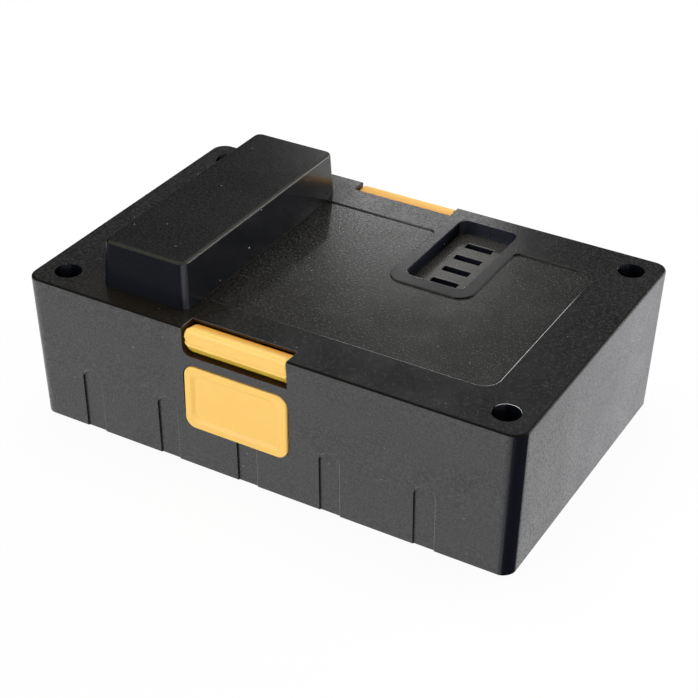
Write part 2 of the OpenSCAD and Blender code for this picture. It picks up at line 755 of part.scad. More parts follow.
module rear_cell_holder() mirror([0, 1, 0])
    cell_holder([for (p = [board_posts[2], board_posts[3]]) [p[0], -p[1]]]);

function spot(c) = [col_x(c[0]), c[1] == 0 ? low_z : high_z];

// A strip on the front end of the pack, welded to the cells [column, row] in order.
module strip(cells) {
    color(nickel) translate([0, -holder_y1, 0]) rotate([90, 0, 0]) {
        linear_extrude(strip_t) for (i = [0:len(cells) - 1]) {
            a = spot(cells[i]);
            b = spot(cells[min(i + 1, len(cells) - 1)]);
            translate((a + b) / 2)
                square([abs(b[0] - a[0]) + strip_w, abs(b[1] - a[1]) + strip_w], center = true);
        }
        for (c = cells) translate([spot(c)[0], spot(c)[1], -(holder_y1 - cell_len / 2)])
            cylinder(d = weld_d, h = holder_y1 - cell_len / 2 + eps);
    }
}

// Tab that stands up from an end strip and is soldered through the board.
module board_tab() {
    color(nickel) translate([tab_x - tab_w / 2, -strip_y1, low_z])
        cube([tab_w, strip_t, board_z1 + tab_stand - low_z]);
}

// Tab that folds over the holder's top, where a wire is soldered on.
module top_tab(x, w) {
    color(nickel) translate([x - w / 2, -strip_y1, 0]) {
        translate([0, 0, high_z]) cube([w, strip_t, holder_high_top + strip_t - high_z]);
        translate([0, 0, holder_high_top]) cube([w, holder_grip, strip_t]);
    }
}

module positive_strip() {
    strip([[0, 0], [0, 1]]);
    top_tab(col_x(0), lead_tab_w);
}

module front_strip_2() {
    strip([[1, 0], [1, 1], [2, 1], [2, 0]]);
    top_tab(sense_x[0], sense_tab_w);
}

module front_strip_3() {
    strip([[3, 0], [4, 0], [5, 0], [6, 0]]);
    board_tab();
}

module rear_strip_1() mirror([0, 1, 0]) {
    strip([[0, 0], [0, 1], [1, 1], [1, 0]]);
    top_tab(sense_x[1], sense_tab_w);
}

module rear_strip_2() mirror([0, 1, 0]) {
    strip([[2, 1], [2, 0], [3, 0], [4, 0]]);
    top_tab(sense_x[2], sense_tab_w);
}

module negative_strip() mirror([0, 1, 0]) {
    strip([[5, 0], [6, 0]]);
    board_tab();
}

module insulator() {
    inset = 1;
    color([0.82, 0.74, 0.52]) translate([0, -strip_y1 - sheet_play, 0]) rotate([90, 0, 0])
        linear_extrude(paper_t) pack_outline(-inset);
}

module front_insulator() insulator();

module rear_insulator() mirror([0, 1, 0]) insulator();

module foam_pads() {
    pad_l = 5;
    room = case_h - lid_t - holder_high_top;
    color([0.25, 0.25, 0.26]) both_sides() for (x = [holder_x0, holder_step_x - pad_l])
        translate([x, -holder_y1, holder_high_top]) cube([pad_l, holder_y1 - holder_y0, room]);
}

// Protection board and contacts

module protection_board() {
    slit = 0.4;
    color([0.08, 0.32, 0.18]) difference() {
        translate([board_x0, board_y0, board_z0]) cube([board_l, board_y1 - board_y0, board_t]);
        for (p = board_posts) translate([p[0], p[1], board_z0 - cut])
            cylinder(d = board_screw_d + 2 * screw_clear, h = board_t + 2 * cut);
        both_sides() translate([tab_x - tab_w / 2 - slit, -strip_y1 - slit, board_z0 - cut])
            cube([tab_w + 2 * slit, strip_t + 2 * slit, board_t + 2 * cut]);
    }
}

module board_screws() {
    end_gap = 1;
    color(steel) for (p = board_posts) translate([p[0], p[1], board_z1])
        cross_screw(board_screw_d, board_t + post_h - end_gap, board_head_d, board_head_h);
}

module contact_block() {
    chamber_l = slot_l + 1.6;
    chamber_w = slot_pitch - block_wall;
    color([0.12, 0.12, 0.13]) difference() {
        translate([well_x - block_l / 2, well_y - block_w / 2, board_z1])
            cube([block_l, block_w, block_h]);
        at_contacts() {
            translate([-chamber_l / 2, -chamber_w / 2, board_z1 - cut])
                cube([chamber_l, chamber_w, block_h - block_wall + cut]);
            translate([-slot_l / 2, -slot_w / 2, board_z1])
                cube([slot_l, slot_w, block_h + cut]);
        }
    }
}

// Forked clip that grips a blade pushed down between its two leaves.
module contact_clip(i) {
    t = 0.5;
    foot = slot_pitch / 2 - block_wall;
    root = foot - 1;
    pinch = 0.35;
    mouth = 1.4;
    mouth_h = 2.4;
    head_gap = 0.6;
    clip_l = slot_l - 0.8;
    top = block_h - block_wall - head_gap;
    leaf = [[foot, 0], [foot, t], [root, t], [pinch + t, top - mouth_h], [mouth + t, top],
            [mouth, top], [pinch, top - mouth_h], [root - 2 * t, t]];
    other_leaf = [for (k = [len(leaf) - 1:-1:0]) [-leaf[k][0], leaf[k][1]]];
    color(brass) at_contact(i) translate([-clip_l / 2, 0, board_z1])
        rotate([90, 0, 90]) linear_extrude(clip_l) polygon(concat(leaf, other_leaf));
}

// A child moved to a place on the board.
module on_board(at) {
    translate([board_x0 + at[0], board_y0 + at[1], board_z1]) children();
}

module power_transistors() {
    body = [6.5, 6.1, 2.3];
    metal_t = 0.5;
    tab_l = 1.4;
    tab_inset = 0.6;
    leg_l = 2.6;
    leg_w = 0.8;
    leg_inset = 1;
    color([0.13, 0.13, 0.14]) for (i = [0:3]) on_board(transistor_at + [transistor_pitch * i, 0]) {
        cube(body);
        translate([tab_inset, body[1] - eps, 0]) cube([body[0] - 2 * tab_inset, tab_l, metal_t]);
        for (x = [leg_inset, body[0] - leg_inset - leg_w])
            translate([x, -leg_l, 0]) cube([leg_w, leg_l + eps, metal_t]);
    }
}

module shunt_resistor() {
    bar = [8, 4, 0.6];
    end = [1.6, 4, 1.1];
    color([0.55, 0.42, 0.30]) on_board(shunt_at) {
        cube(bar);
        for (x = [0, bar[0] - end[0]]) translate([x, 0, 0]) cube(end);
    }
}

module controller_chip() {
    side = 9;
    body_t = 1.4;
    body_z = 0.3;
    legs = 6;
    leg_pitch = 1.2;
    leg_w = 0.5;
    leg_t = 0.4;
    leg_out = 0.9;
    first_leg = (side - (legs - 1) * leg_pitch - leg_w) / 2;
    color([0.12, 0.12, 0.13]) on_board(chip_at) {
        translate([0, 0, body_z]) cube([side, side, body_t]);
        for (i = [0:legs - 1])
            translate([first_leg + i * leg_pitch, -leg_out, 0]) cube([leg_w, side + 2 * leg_out, leg_t]);
    }
}

module capacitors() {
    can_d = 6.3;
    can_h = 6.4;
    base_d = 7;
    base_h = 1;
    color([0.72, 0.73, 0.75]) for (at = capacitors_at) on_board(at) {
        cylinder(d = can_d, h = can_h);
        cylinder(d = base_d, h = base_h);
    }
}

module sense_header() {
    rim = 1;
    pocket = 1.6;
    color([0.90, 0.89, 0.84]) translate([header_x, header_y - header_w / 2, board_z1]) difference() {
        cube([header_l, header_w, header_h]);
        translate([rim, rim, header_h - pocket])
            cube([header_l - 2 * rim, header_w - 2 * rim, pocket + cut]);
    }
}

module positive_lead() {
    color([0.75, 0.10, 0.08]) tube(smooth(lead_route, 4), lead_d / 2, 8, [0, 0, 1]);
}

module sense_wires() {
    color([0.85, 0.85, 0.83]) for (route = sense_routes)
        tube(smooth(route, 3), sense_d / 2, 6, [0, 0, 1]);
}

module thermistor() {
    color([0.10, 0.10, 0.10]) {
        translate([bead_x, 0, bead_z]) sphere(bead_r);
        tube(smooth(bead_route, 3), bead_wire_r, 6, [1, 0, 0]);
    }
}

lower_housing();
top_cover();
case_screws();
front_latch();
rear_latch();
front_latch_springs();
rear_latch_springs();
front_cell_holder();
rear_cell_holder();
for (i = [0:lower_cells - 1]) lower_cell(i);
for (i = [0:upper_cells - 1]) upper_cell(i);
positive_strip();
front_strip_2();
front_strip_3();
rear_strip_1();
rear_strip_2();
negative_strip();
front_insulator();
rear_insulator();
foam_pads();
protection_board();
board_screws();
contact_block();
for (i = [0:contacts - 1]) contact_clip(i);
power_transistors();
shunt_resistor();
controller_chip();
capacitors();
sense_header();
positive_lead();
sense_wires();
thermistor();
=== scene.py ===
import json
import math

import bmesh
import bpy
from mathutils import Matrix, Vector


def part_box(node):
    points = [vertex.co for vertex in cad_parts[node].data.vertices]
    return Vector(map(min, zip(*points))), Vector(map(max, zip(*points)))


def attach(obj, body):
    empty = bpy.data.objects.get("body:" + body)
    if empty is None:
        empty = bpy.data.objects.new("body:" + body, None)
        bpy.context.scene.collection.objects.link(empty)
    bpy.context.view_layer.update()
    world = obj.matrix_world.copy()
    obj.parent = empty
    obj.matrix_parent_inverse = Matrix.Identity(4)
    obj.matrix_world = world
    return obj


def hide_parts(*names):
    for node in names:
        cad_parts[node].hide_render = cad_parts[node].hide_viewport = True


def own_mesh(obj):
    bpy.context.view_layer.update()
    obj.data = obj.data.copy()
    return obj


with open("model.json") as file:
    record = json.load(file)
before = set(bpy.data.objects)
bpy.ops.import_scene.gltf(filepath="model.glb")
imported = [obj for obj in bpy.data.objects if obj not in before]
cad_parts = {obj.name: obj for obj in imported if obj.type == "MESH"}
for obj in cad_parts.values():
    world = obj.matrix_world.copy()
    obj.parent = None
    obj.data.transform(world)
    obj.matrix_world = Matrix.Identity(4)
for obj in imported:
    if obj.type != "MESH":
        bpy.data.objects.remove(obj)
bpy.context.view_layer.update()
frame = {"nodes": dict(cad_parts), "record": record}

nodes = frame["nodes"]
scene = bpy.context.scene
scene.view_settings.view_transform = "Standard"
mm = 0.001
print("frame loaded,", len(nodes), "nodes")


camera = {
    "framePixels": 698,
    "focalPixels": 1726.5,
    "azimuth": 29.43,
    "elevation": 32.70,
    "roll": 0.80,
    "distance": 533.9,       # mm, from the middle of the foot
    "sideways": 0.014,
    "upwards": 16.86,
    "sensorWidth": 36,       # mm
    "clipStart": 0.01,       # m
}


def aimCamera(setting):
    azimuth = math.radians(setting["azimuth"])
    elevation = math.radians(setting["elevation"])
    roll = math.radians(setting["roll"])
    back = Vector((math.sin(azimuth) * math.cos(elevation),
                   -math.cos(azimuth) * math.cos(elevation),
                   math.sin(elevation)))
    flatRight = Vector((math.cos(azimuth), math.sin(azimuth), 0))
    flatUp = back.cross(flatRight)
    right = math.cos(roll) * flatRight + math.sin(roll) * flatUp
    up = math.cos(roll) * flatUp - math.sin(roll) * flatRight
    data = bpy.data.cameras.new("photoCamera")
    data.sensor_width = setting["sensorWidth"]
    data.lens = data.sensor_width * setting["focalPixels"] / setting["framePixels"]
    data.clip_start = setting["clipStart"]
    lens = bpy.data.objects.new("photoCamera", data)
    place = (back * setting["distance"] + right * setting["sideways"] + up * setting["upwards"]) * mm
    lens.matrix_world = Matrix.Translation(place) @ Matrix((right, up, back)).transposed().to_4x4()
    scene.collection.objects.link(lens)
    scene.camera = lens


aimCamera(camera)
print("camera aimed")


def shade(text):                       # sRGB hex to linear
    values = [int(text[i:i + 2], 16) / 255 for i in (1, 3, 5)]
    return [v / 12.92 if v <= 0.04045 else ((v + 0.055) / 1.055) ** 2.4 for v in values] + [1]


def perMillimetre(size):               # texture scale for a feature of that many millimetres
    return 1 / (size * mm)


def addNode(tree, kind, settings=None, links=None):
    node = tree.nodes.new(kind)
    for key, value in (settings or {}).items():
        if isinstance(key, str) and hasattr(node, key):
            setattr(node, key, value)
        else:
            node.inputs[key].default_value = value
    for key, source in (links or {}).items():
        tree.links.new(source, node.inputs[key])
    return node


def freshMaterial(name, settings):
    material = bpy.data.materials.new(name)
    material.use_nodes = True
    tree = material.node_tree
    tree.nodes.clear()
    surface = addNode(tree, "ShaderNodeBsdfPrincipled", settings)
    addNode(tree, "ShaderNodeOutputMaterial", None, {"Surface": surface.outputs["BSDF"]})
    place = addNode(tree, "ShaderNodeTexCoord").outputs["Object"]
    return material, tree, surface, place


def joinSurface(tree, surface, colour, roughness, bump):  # what every patterned finish sets
    tree.links.new(colour, surface.inputs["Base Color"])
    tree.links.new(roughness, surface.inputs["Roughness"])
    tree.links.new(bump.outputs["Normal"], surface.inputs["Normal"])


def fillRamp(ramp, stops):
    stops = list(stops)
    while len(ramp.elements) < len(stops):
        ramp.elements.new(0.5)
    for element, (position, colour) in zip(ramp.elements, stops):
        element.position = position
        element.color = colour


mixA, mixB, mixOut = 6, 7, 2           # sockets of a colour Mix node
noiseLow, noiseHigh = 0.3, 0.7         # nearly all of a noise texture lies between these

plainLook = {                          # what a plastic has unless its own look says otherwise
    "ior": 1.55,
    "level": 0.5,                      # strength of the shine
    "spread": 0.04,                    # how far handling changes the roughness, each way
    "grain": 0.4,                      # mm
    "depth": 0.006,                    # mm, of the grain
    "pits": 0.0,                       # roughness that the grain's hollows add
    "pitsUnder": 0.55,                 # noise of the grain where hollows start
    "flecks": [0.40, 0.80],            # noise of the grain where pale tips start and are full
    "marks": 12,                       # mm, of the handling marks
    "drift": [0.32, 0.70],             # noise of the marks from the dark colour to the plain one
    "dust": 5,                         # mm between specks
    "speck": 0.15,                     # mm
    "dustColour": "#8a8680",
    "blends": [],                      # places that differ: their masks, colour and shine
}


# Moulded plastic: grain from the mould's skin in colour, height and gloss, handling marks, a slow
# drift of colour and a few specks of dust. Sizes are in mm; the real grain, about 0.3 mm, is
# finer than the picture can hold, so it is drawn coarser.
def mouldedPlastic(name, **own):
    look = {**plainLook, **own}
    material, tree, surface, place = freshMaterial(name, {
        "IOR": look["ior"], "Specular IOR Level": look["level"]})
    grain = addNode(tree, "ShaderNodeTexNoise", {
        "Scale": perMillimetre(look["grain"]), "Detail": 1.0, "Roughness": 0.5}, {"Vector": place})
    marks = addNode(tree, "ShaderNodeTexNoise", {
        "Scale": perMillimetre(look["marks"]), "Detail": 5.0, "Roughness": 0.6, "Distortion": 0.5},
        {"Vector": place})
    gloss = addNode(tree, "ShaderNodeMapRange", {
        "From Min": noiseLow, "From Max": noiseHigh, "To Min": look["roughness"] - look["spread"],
        "To Max": look["roughness"] + look["spread"]}, {"Value": marks.outputs["Fac"]})
    pits = addNode(tree, "ShaderNodeMapRange", {
        "From Min": look["pitsUnder"], "From Max": noiseLow, "To Max": look["pits"]},
        {"Value": grain.outputs["Fac"]})
    dull = addNode(tree, "ShaderNodeMath", {"operation": "ADD"},
                   {0: gloss.outputs["Result"], 1: pits.outputs["Result"]})
    drift = addNode(tree, "ShaderNodeValToRGB", None, {"Fac": marks.outputs["Fac"]})
    fillRamp(drift.color_ramp, zip(look["drift"], (shade(look["dark"]), shade(look["colour"]))))
    fleckFrom, fleckTo = look["flecks"]
    tips = addNode(tree, "ShaderNodeMapRange", {"From Min": fleckFrom, "From Max": fleckTo},
                   {"Value": grain.outputs["Fac"]})
    flecked = addNode(tree, "ShaderNodeMix", {"data_type": "RGBA", mixB: shade(look["fleck"])},
                      {"Factor": tips.outputs["Result"], mixA: drift.outputs["Color"]})
    specks = addNode(tree, "ShaderNodeTexVoronoi", {"Scale": perMillimetre(look["dust"])},
                     {"Vector": place})
    near = addNode(tree, "ShaderNodeMath", {"operation": "LESS_THAN", 1: look["speck"] / look["dust"]},
                   {0: specks.outputs["Distance"]})
    dusty = addNode(tree, "ShaderNodeMix", {"data_type": "RGBA", mixB: shade(look["dustColour"])},
                    {"Factor": near.outputs["Value"], mixA: flecked.outputs[mixOut]})
    bump = addNode(tree, "ShaderNodeBump", {"Distance": look["depth"] * mm},
                   {"Height": grain.outputs["Fac"]})
    skin = dusty.outputs[mixOut]
    shine = None
    for masks, colour, level in look["blends"]:  # where the skin turns or lies a certain way
        share = None
        for source, towards, first, last in masks:
            facing = addNode(tree, "ShaderNodeVectorMath", {"operation": "DOT_PRODUCT", 1: towards},
                             {0: addNode(tree, "ShaderNodeTexCoord").outputs[source]})
            mask = addNode(tree, "ShaderNodeMapRange", {
                "interpolation_type": "SMOOTHSTEP", "From Min": first, "From Max": last},
                {"Value": facing.outputs["Value"]}).outputs["Result"]
            if share:
                mask = addNode(tree, "ShaderNodeMath", {"operation": "MULTIPLY"},
                               {0: share, 1: mask}).outputs["Value"]
            share = mask
        skin = addNode(tree, "ShaderNodeMix", {"data_type": "RGBA", mixB: shade(colour)},
                       {"Factor": share, mixA: skin}).outputs[mixOut]
        if shine or level != look["level"]:  # a shine that is the same all over stays on its socket
            links = {"Value": share, "To Min": shine} if shine else {"Value": share}
            shine = addNode(tree, "ShaderNodeMapRange", {"To Min": look["level"], "To Max": level},
                            links).outputs["Result"]
    if shine:
        tree.links.new(shine, surface.inputs["Specular IOR Level"])
    joinSurface(tree, surface, skin, dull.outputs["Value"], bump)
    return material


# Glass-filled nylon from a spark-eroded mould: a dry, even, dark grey skin on the walls, with painted
# shade round the front right corner, dark and without shine, and a painted sheen along the right wall.
sparkNylon = mouldedPlastic(
    "nylon_spark_eroded", colour="#28282a", dark="#0c0c0d", fleck="#3a3a3c", level=0.6, roughness=0.29,
    spread=0.09, grain=0.65, depth=0.06, pits=0.24, marks=20, speck=0.18, blends=[
        # painted shade: dark and without shine round the front right corner
        ([("Normal", (1, 0, 0), 0.03, 0.55), ("Normal", (0, -1, 0), 0.03, 0.25)], "#14161c", 0.0),
        # painted sheen: paler and glossier along the right wall, more so towards the back
        ([("Normal", (1, 0, 0), 0.95, 1.0), ("Object", (0, 1, 0), -0.06, 0.04)], "#38383e", 1.0)])
# A painted warm reflection of the front latch on the cover near it, over these reaches in metres.
latchReflectionReach = [("Object", (-1, 0, 0), -0.012, 0.06), ("Object", (1, 0, 0), -0.075, -0.04),
             ("Object", (0, -1, 0), 0.0, 0.05)]
# The same nylon off a finely blasted mould: darker, and with a satin sheen towards the light.
blastedNylon = mouldedPlastic(
    "nylon_fine_blasted", colour="#040404", dark="#030303", fleck="#393938", level=0.6, roughness=0.14,
    # with a painted warm reflection of the front latch
    pits=0.1, grain=0.62, depth=0.014, marks=14, speck=0.18, blends=[(latchReflectionReach, "#1f1a12", 0.6)])
# The same nylon on top of the boss, where handling has smoothed the grain: darker and quieter.
handledNylon = mouldedPlastic(
    "nylon_blasted_handled", colour="#040404", dark="#030303", fleck="#2a2a2a", level=0.4, roughness=0.2,
    grain=0.62, depth=0.01, marks=22, speck=0.18)
# The same nylon with an etched grain: a sparkling, stony field.
etchedNylon = mouldedPlastic(
    "nylon_etched", colour="#040404", dark="#030303", fleck="#4b4a47", level=0.65, roughness=0.14,
    # with a painted warm reflection of the front latch
    pits=0.12, grain=0.66, depth=0.02, marks=16, speck=0.18, blends=[(latchReflectionReach, "#18120a", 0.55)])
# The same nylon off a polished steel face: near black, with a bluish tint and no glare.
polishedNylon = mouldedPlastic(
    "nylon_die_polished", colour="#0f1118", dark="#0b0d12", fleck="#14161e", level=0.05, roughness=0.24,
    # painted highlight on faces turned to the front right, as on the boss's rounded corner
    speck=0.14, blends=[([("Normal", (0.80, -0.60, 0), 0.84, 1.0)], "#34353b", 0.3)])
# The same nylon buffed: near black, and it shows a blurred image of what stands around it.
buffedNylon = mouldedPlastic(
    "nylon_buffed", colour="#07080b", dark="#050608", fleck="#0c0d11", level=0.15, roughness=0.22,
    depth=0.003, speck=0.2, dustColour="#b8b4ac",
    # painted reflection: paler and glossier towards the rear of the boss
    blends=[([("Object", (0, 1, 0), 0.012, 0.036)], "#0c0b0b", 0.42)])
# The same nylon where a mould's edge was trimmed: dull and dark, so the edge doesn't catch light.
trimmedNylon = mouldedPlastic(
    "nylon_trimmed", colour="#0f0d0a", dark="#0b0907", fleck="#16130f", level=0.04, roughness=0.5)
# The same nylon on soft edges, painted paler as a highlight: a faint olive line.
edgeHighlightNylon = mouldedPlastic(
    "nylon_painted_edge_highlight", colour="#2c2d27", dark="#252620", fleck="#35362f", level=0.08, roughness=0.5)
# The same nylon in the well, off a drawn die: a deep, cold blue-black.
drawnNylon = mouldedPlastic(
    "nylon_die_drawn", colour="#20242f", dark="#191c25", fleck="#272b37", level=0.3, roughness=0.3)
# The same nylon painted paler on the flutes' right walls and arches: a painted highlight, a faint line.
fluteHighlightNylon = mouldedPlastic(
    "nylon_painted_flute_highlight", colour="#8a8a8c", dark="#7c7c7e", fleck="#949496", level=0.3, roughness=0.4)
# The same nylon on the contact deck, with a satin sheen; its greyer colour is a painted sheen.
deckNylon = mouldedPlastic(
    "nylon_glass_filled", colour="#36342f", dark="#2c2a26", fleck="#4a4844", level=0.7, roughness=0.22,
    depth=0.015, grain=0.4)
# The same nylon painted pale on rims of the field and screw wells: a painted highlight, a thin pale
# line.
rimHighlightNylon = mouldedPlastic(
    "nylon_painted_rim_highlight", colour="#e4e4e8", dark="#d4d4d8", fleck="#eeeef2", roughness=0.35, blends=[
        # the painted highlight is dimmer on walls turned to the back, and fades out to the left and the
        # back
        ([("Normal", (0, 1, 0), 0.1, 0.5)], "#77777a", 0.5),
        ([("Object", (-1, 0, 0), -0.018, -0.004)], "#0b0b0a", 0.1),
        ([("Object", (0, 1, 0), 0.012, 0.026)], "#0b0b0a", 0.1)])
# The same nylon inside the latch openings, painted warm brown: a painted reflection of the yellow it
# faces.
latchReflectionNylon = mouldedPlastic(
    "nylon_painted_latch_reflection", colour="#3a2814", dark="#2c1e0f", fleck="#463119", level=0.1, roughness=0.5)
# Pigmented ABS with a satin skin: warm, even yellow with a soft shine.
satinAbs = mouldedPlastic(
    "abs_satin_moulded", colour="#fdce6b", dark="#fcc862", fleck="#fdd272", ior=1.53, level=0.4,
    roughness=0.36, marks=9, speck=0.1, dustColour="#d9a94e", blends=[
        # painted shade: deeper orange towards the root of each hook
        ([("Object", (0, way, 0), first, -0.0460), ("Object", (0, -way, 0), 0.0, 0.01)], "#fbae46", 0.3)
        for way, first in ((1, -0.0492), (-1, -0.0510))])  # deeper towards the root of each hook
# The same ABS on the hook's downward bevel, painted duller and greener: painted shade on the underside.
undersideShadeAbs = mouldedPlastic(
    "abs_painted_underside_shade", colour="#d2b03c", dark="#c6a333", fleck="#d8b848", ior=1.53, level=0.2,
    roughness=0.5, depth=0.01, marks=9, speck=0.1, dustColour="#b8902e")
print("materials of the case made")


def meshObject(name, bm):
    mesh = bpy.data.meshes.new(name)
    bm.to_mesh(mesh)
    bm.free()
    made = bpy.data.objects.new(name, mesh)
    scene.collection.objects.link(made)
    return made


sameSpot = 0.0005                      # mm, points of the CAD mesh nearer than this are one


def cadCopy(name, node):               # a new closed mesh with the CAD node's shape
    source = nodes[node].data
    bm = bmesh.new()
    points = [bm.verts.new(v.co) for v in source.vertices]
    for face in source.polygons:
        bm.faces.new([points[i] for i in face.vertices])
    bmesh.ops.remove_doubles(bm, verts=bm.verts[:], dist=sameSpot * mm)
    return meshObject(name, bm)


straightWithin = 0.001                 # radians


def filletOutline(corners, steps=8):   # corners are (u, v, radius), anticlockwise
    outline = []
    for i, (u, v, radius) in enumerate(corners):
        here = Vector((u, v))
        arriving = (here - Vector(corners[i - 1][:2])).normalized()
        leaving = (Vector(corners[(i + 1) % len(corners)][:2]) - here).normalized()
        turn = math.atan2(arriving.x * leaving.y - arriving.y * leaving.x, arriving.dot(leaving))
        if radius <= 0 or abs(turn) < straightWithin:
            outline.append(here)
            continue
        start = here - arriving * radius * math.tan(abs(turn) / 2)
        centre = start + Vector((-arriving.y, arriving.x)) * math.copysign(radius, turn)
        for k in range(steps + 1):
            outline.append(centre + Matrix.Rotation(turn * k / steps, 2) @ (start - centre))
    return outline


def rectangle(u0, v0, u1, v1, radius):
    return [(u0, v0, radius), (u1, v0, radius), (u1, v1, radius), (u0, v1, radius)]


def grow(outline, by):                 # moves every edge of an outline outwards
    grown = []
    for i, here in enumerate(outline):
        before = (here - outline[i - 1]).normalized()
        after = (outline[(i + 1) % len(outline)] - here).normalized()
        sideA = Vector((before.y, -before.x))
        sideB = Vector((after.y, -after.x))
        grown.append(here + (sideA + sideB) * (by / (1 + sideA.dot(sideB))))
    return grown


def loft(name, rings, closed=False):
    bm = bmesh.new()
    rows = [[bm.verts.new(p) for p in ring] for ring in rings]
    pairs = list(zip(rows, rows[1:]))
    if closed:
        pairs.append((rows[-1], rows[0]))
    else:
        bm.faces.new(rows[0])
        bm.faces.new(rows[-1])
    for low, high in pairs:
        for i in range(len(low)):
            bm.faces.new((low[i - 1], low[i], high[i], high[i - 1]))
    bmesh.ops.recalc_face_normals(bm, faces=bm.faces[:])
    if bm.calc_volume(signed=True) < 0:
        bmesh.ops.reverse_faces(bm, faces=bm.faces[:])
    return meshObject(name, bm)


def seatRings(seat, outline, profile):  # profile is (growth, height) pairs over a seat's plane
    origin, across, along, out = seat
    return [[(origin + across * p.x + along * p.y + out * height) * mm for p in grow(outline, growth)]
            for growth, height in profile]


def arc(first, last, steps):           # from and to in degrees, the angles in radians
    return [math.radians(first + (last - first) * k / steps) for k in range(steps + 1)]


overrun = 0.05                         # mm a rounding cutter runs past the faces it meets
skim = 0.004                           # and how far it stands off them there
ringReach = 0.6                        # mm that an edge's cutter stands out from it
roundingArc = arc(8, 82, 5)            # stops short of both faces


# A plug that rounds the mouth of an opening which is already there.
def mouthPlug(seat, outline, radius, above=1):
    profile = [(radius + overrun, above), (radius + overrun, skim)]
    profile += [(radius - radius * math.sin(a), radius * math.cos(a) - radius) for a in roundingArc]
    profile += [(-overrun, -radius - overrun)]
    return loft("mouthPlug", seatRings(seat, outline, profile))


# A ring that rounds an outer edge at a height, top side up or down, on a leaning wall.
def edgeRing(outline, height, radius, up, lean):
    section = [(skim, -radius - overrun)]
    section += [(radius * math.cos(a) - radius, radius * math.sin(a) - radius) for a in roundingArc]
    section += [(-radius - overrun, skim), (-radius - overrun, ringReach), (ringReach, ringReach),
                (ringReach, -radius - overrun)]
    rings = []
    for growth, rise in section:
        z = height + up * rise
        rings.append([Vector((p.x, p.y, z)) * mm for p in grow(outline, growth - lean(z))])
    return loft("edgeRing", rings, closed=True)


def settle(piece):                     # turns the modifiers into plain mesh
    shape = piece.evaluated_get(bpy.context.evaluated_depsgraph_get())
    mesh = bpy.data.meshes.new_from_object(shape)
    piece.modifiers.clear()
    piece.data = mesh


def combine(piece, others, operation="DIFFERENCE"):
    for other in others:
        step = piece.modifiers.new("combine", "BOOLEAN")
        step.operation = operation
        step.solver = "MANIFOLD"
        step.object = other
    settle(piece)
    for other in others:
        bpy.data.objects.remove(other)


sharpFrom = math.radians(50)
flatWithin = math.radians(0.3)
weldWithin = 0.002                     # mm
sliverUnder = 0.001                    # mm


# Clean faces, even shading, and a finish for each face, the first one where there is no pick.
def finishSkin(piece, finishes, pick=None):
    piece.data.materials.clear()
    for finish in finishes:
        piece.data.materials.append(finish)
    bm = bmesh.new()
    bm.from_mesh(piece.data)
    bmesh.ops.remove_doubles(bm, verts=bm.verts[:], dist=weldWithin * mm)
    bmesh.ops.dissolve_degenerate(bm, edges=bm.edges[:], dist=sliverUnder * mm)
    bmesh.ops.dissolve_limit(bm, angle_limit=flatWithin, verts=bm.verts[:], edges=bm.edges[:])
    bm.normal_update()
    for edge in bm.edges:
        edge.smooth = len(edge.link_faces) == 2 and edge.calc_face_angle() < sharpFrom
    for face in bm.faces:
        face.smooth = True
        if pick:
            face.material_index = finishes.index(pick(face.calc_center_median() / mm, face.normal))
    bm.to_mesh(piece.data)
    bm.free()
    even = piece.modifiers.new("evenShading", "WEIGHTED_NORMAL")
    even.keep_sharp = True
    even.weight = 100                  # the largest face decides


def install(piece, body, slot, *replaced):
    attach(piece, body)
    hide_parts(*replaced)


upright = (Vector((0, 0, 0)), Vector((1, 0, 0)), Vector((0, 1, 0)), Vector((0, 0, 1)))


def raised(z):                         # the upright seat, at a height
    return (Vector((0, 0, z)),) + upright[1:]


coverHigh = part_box("top_cover")[1]
latchLow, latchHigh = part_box("front_latch")
halfLength = coverHigh.x / mm
halfWidth = coverHigh.y / mm
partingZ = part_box("lower_housing")[1].z / mm
latchX = (latchLow.x + latchHigh.x) / 2 / mm

case = {
    "height": 47.4,
    "cornerRadius": 4.6,
    "draft": 1.3,
    "footRound": 0.35,
    "partingRound": 0.07,
    "mouthRound": 0.15,
    "padOpening": [34.9, 21.7, 4.35],       # width, height, corner radius
    "padZ": 24.6,
    "notchHalf": 17.15,
    "notchZ": 38.3,
    "notchRadius": 2.6,
    "notchDepth": 2.5,
    "notchTop": 12,                           # mm, well past the tub's edge
    "fillerSunk": 0.1,                        # mm that a notch's filler goes into the wall
    "fillerShy": 0.005,                       # and stays behind its face
    "fluteAt": [21.4, 48.3, 75.3, 102.6, 132.4],
    "flute": [6.4, 21],                       # width, height
    "fluteRound": 0.3,
    "fluteFoot": -3,                          # mm, well past the foot
    "wallBand": 3,                            # mm inwards from the cover's edge that count as wall
}
caseOutline = filletOutline(rectangle(-halfLength, -halfWidth, halfLength, halfWidth,
                                      case["cornerRadius"]), 12)


def caseLean(z):
    return case["draft"] * (1 - z / case["height"])


def outerInset(p):                     # how far a point lies inside the case's outline
    radius = case["cornerRadius"]
    dx, dy = abs(p.x) - halfLength + radius, abs(p.y) - halfWidth + radius
    return radius - (math.hypot(dx, dy) if dx > 0 and dy > 0 else max(dx, dy))


def noLean(z):
    return 0


def wallSeat(side, x, z):              # a seat on a long wall, side -1 in front and 1 behind
    slope = case["draft"] / case["height"]
    along = Vector((0, side * slope, 1)).normalized()
    across = Vector((-side, 0, 0))
    return (Vector((x, side * (halfWidth - caseLean(z)), z)), across, along, across.cross(along))


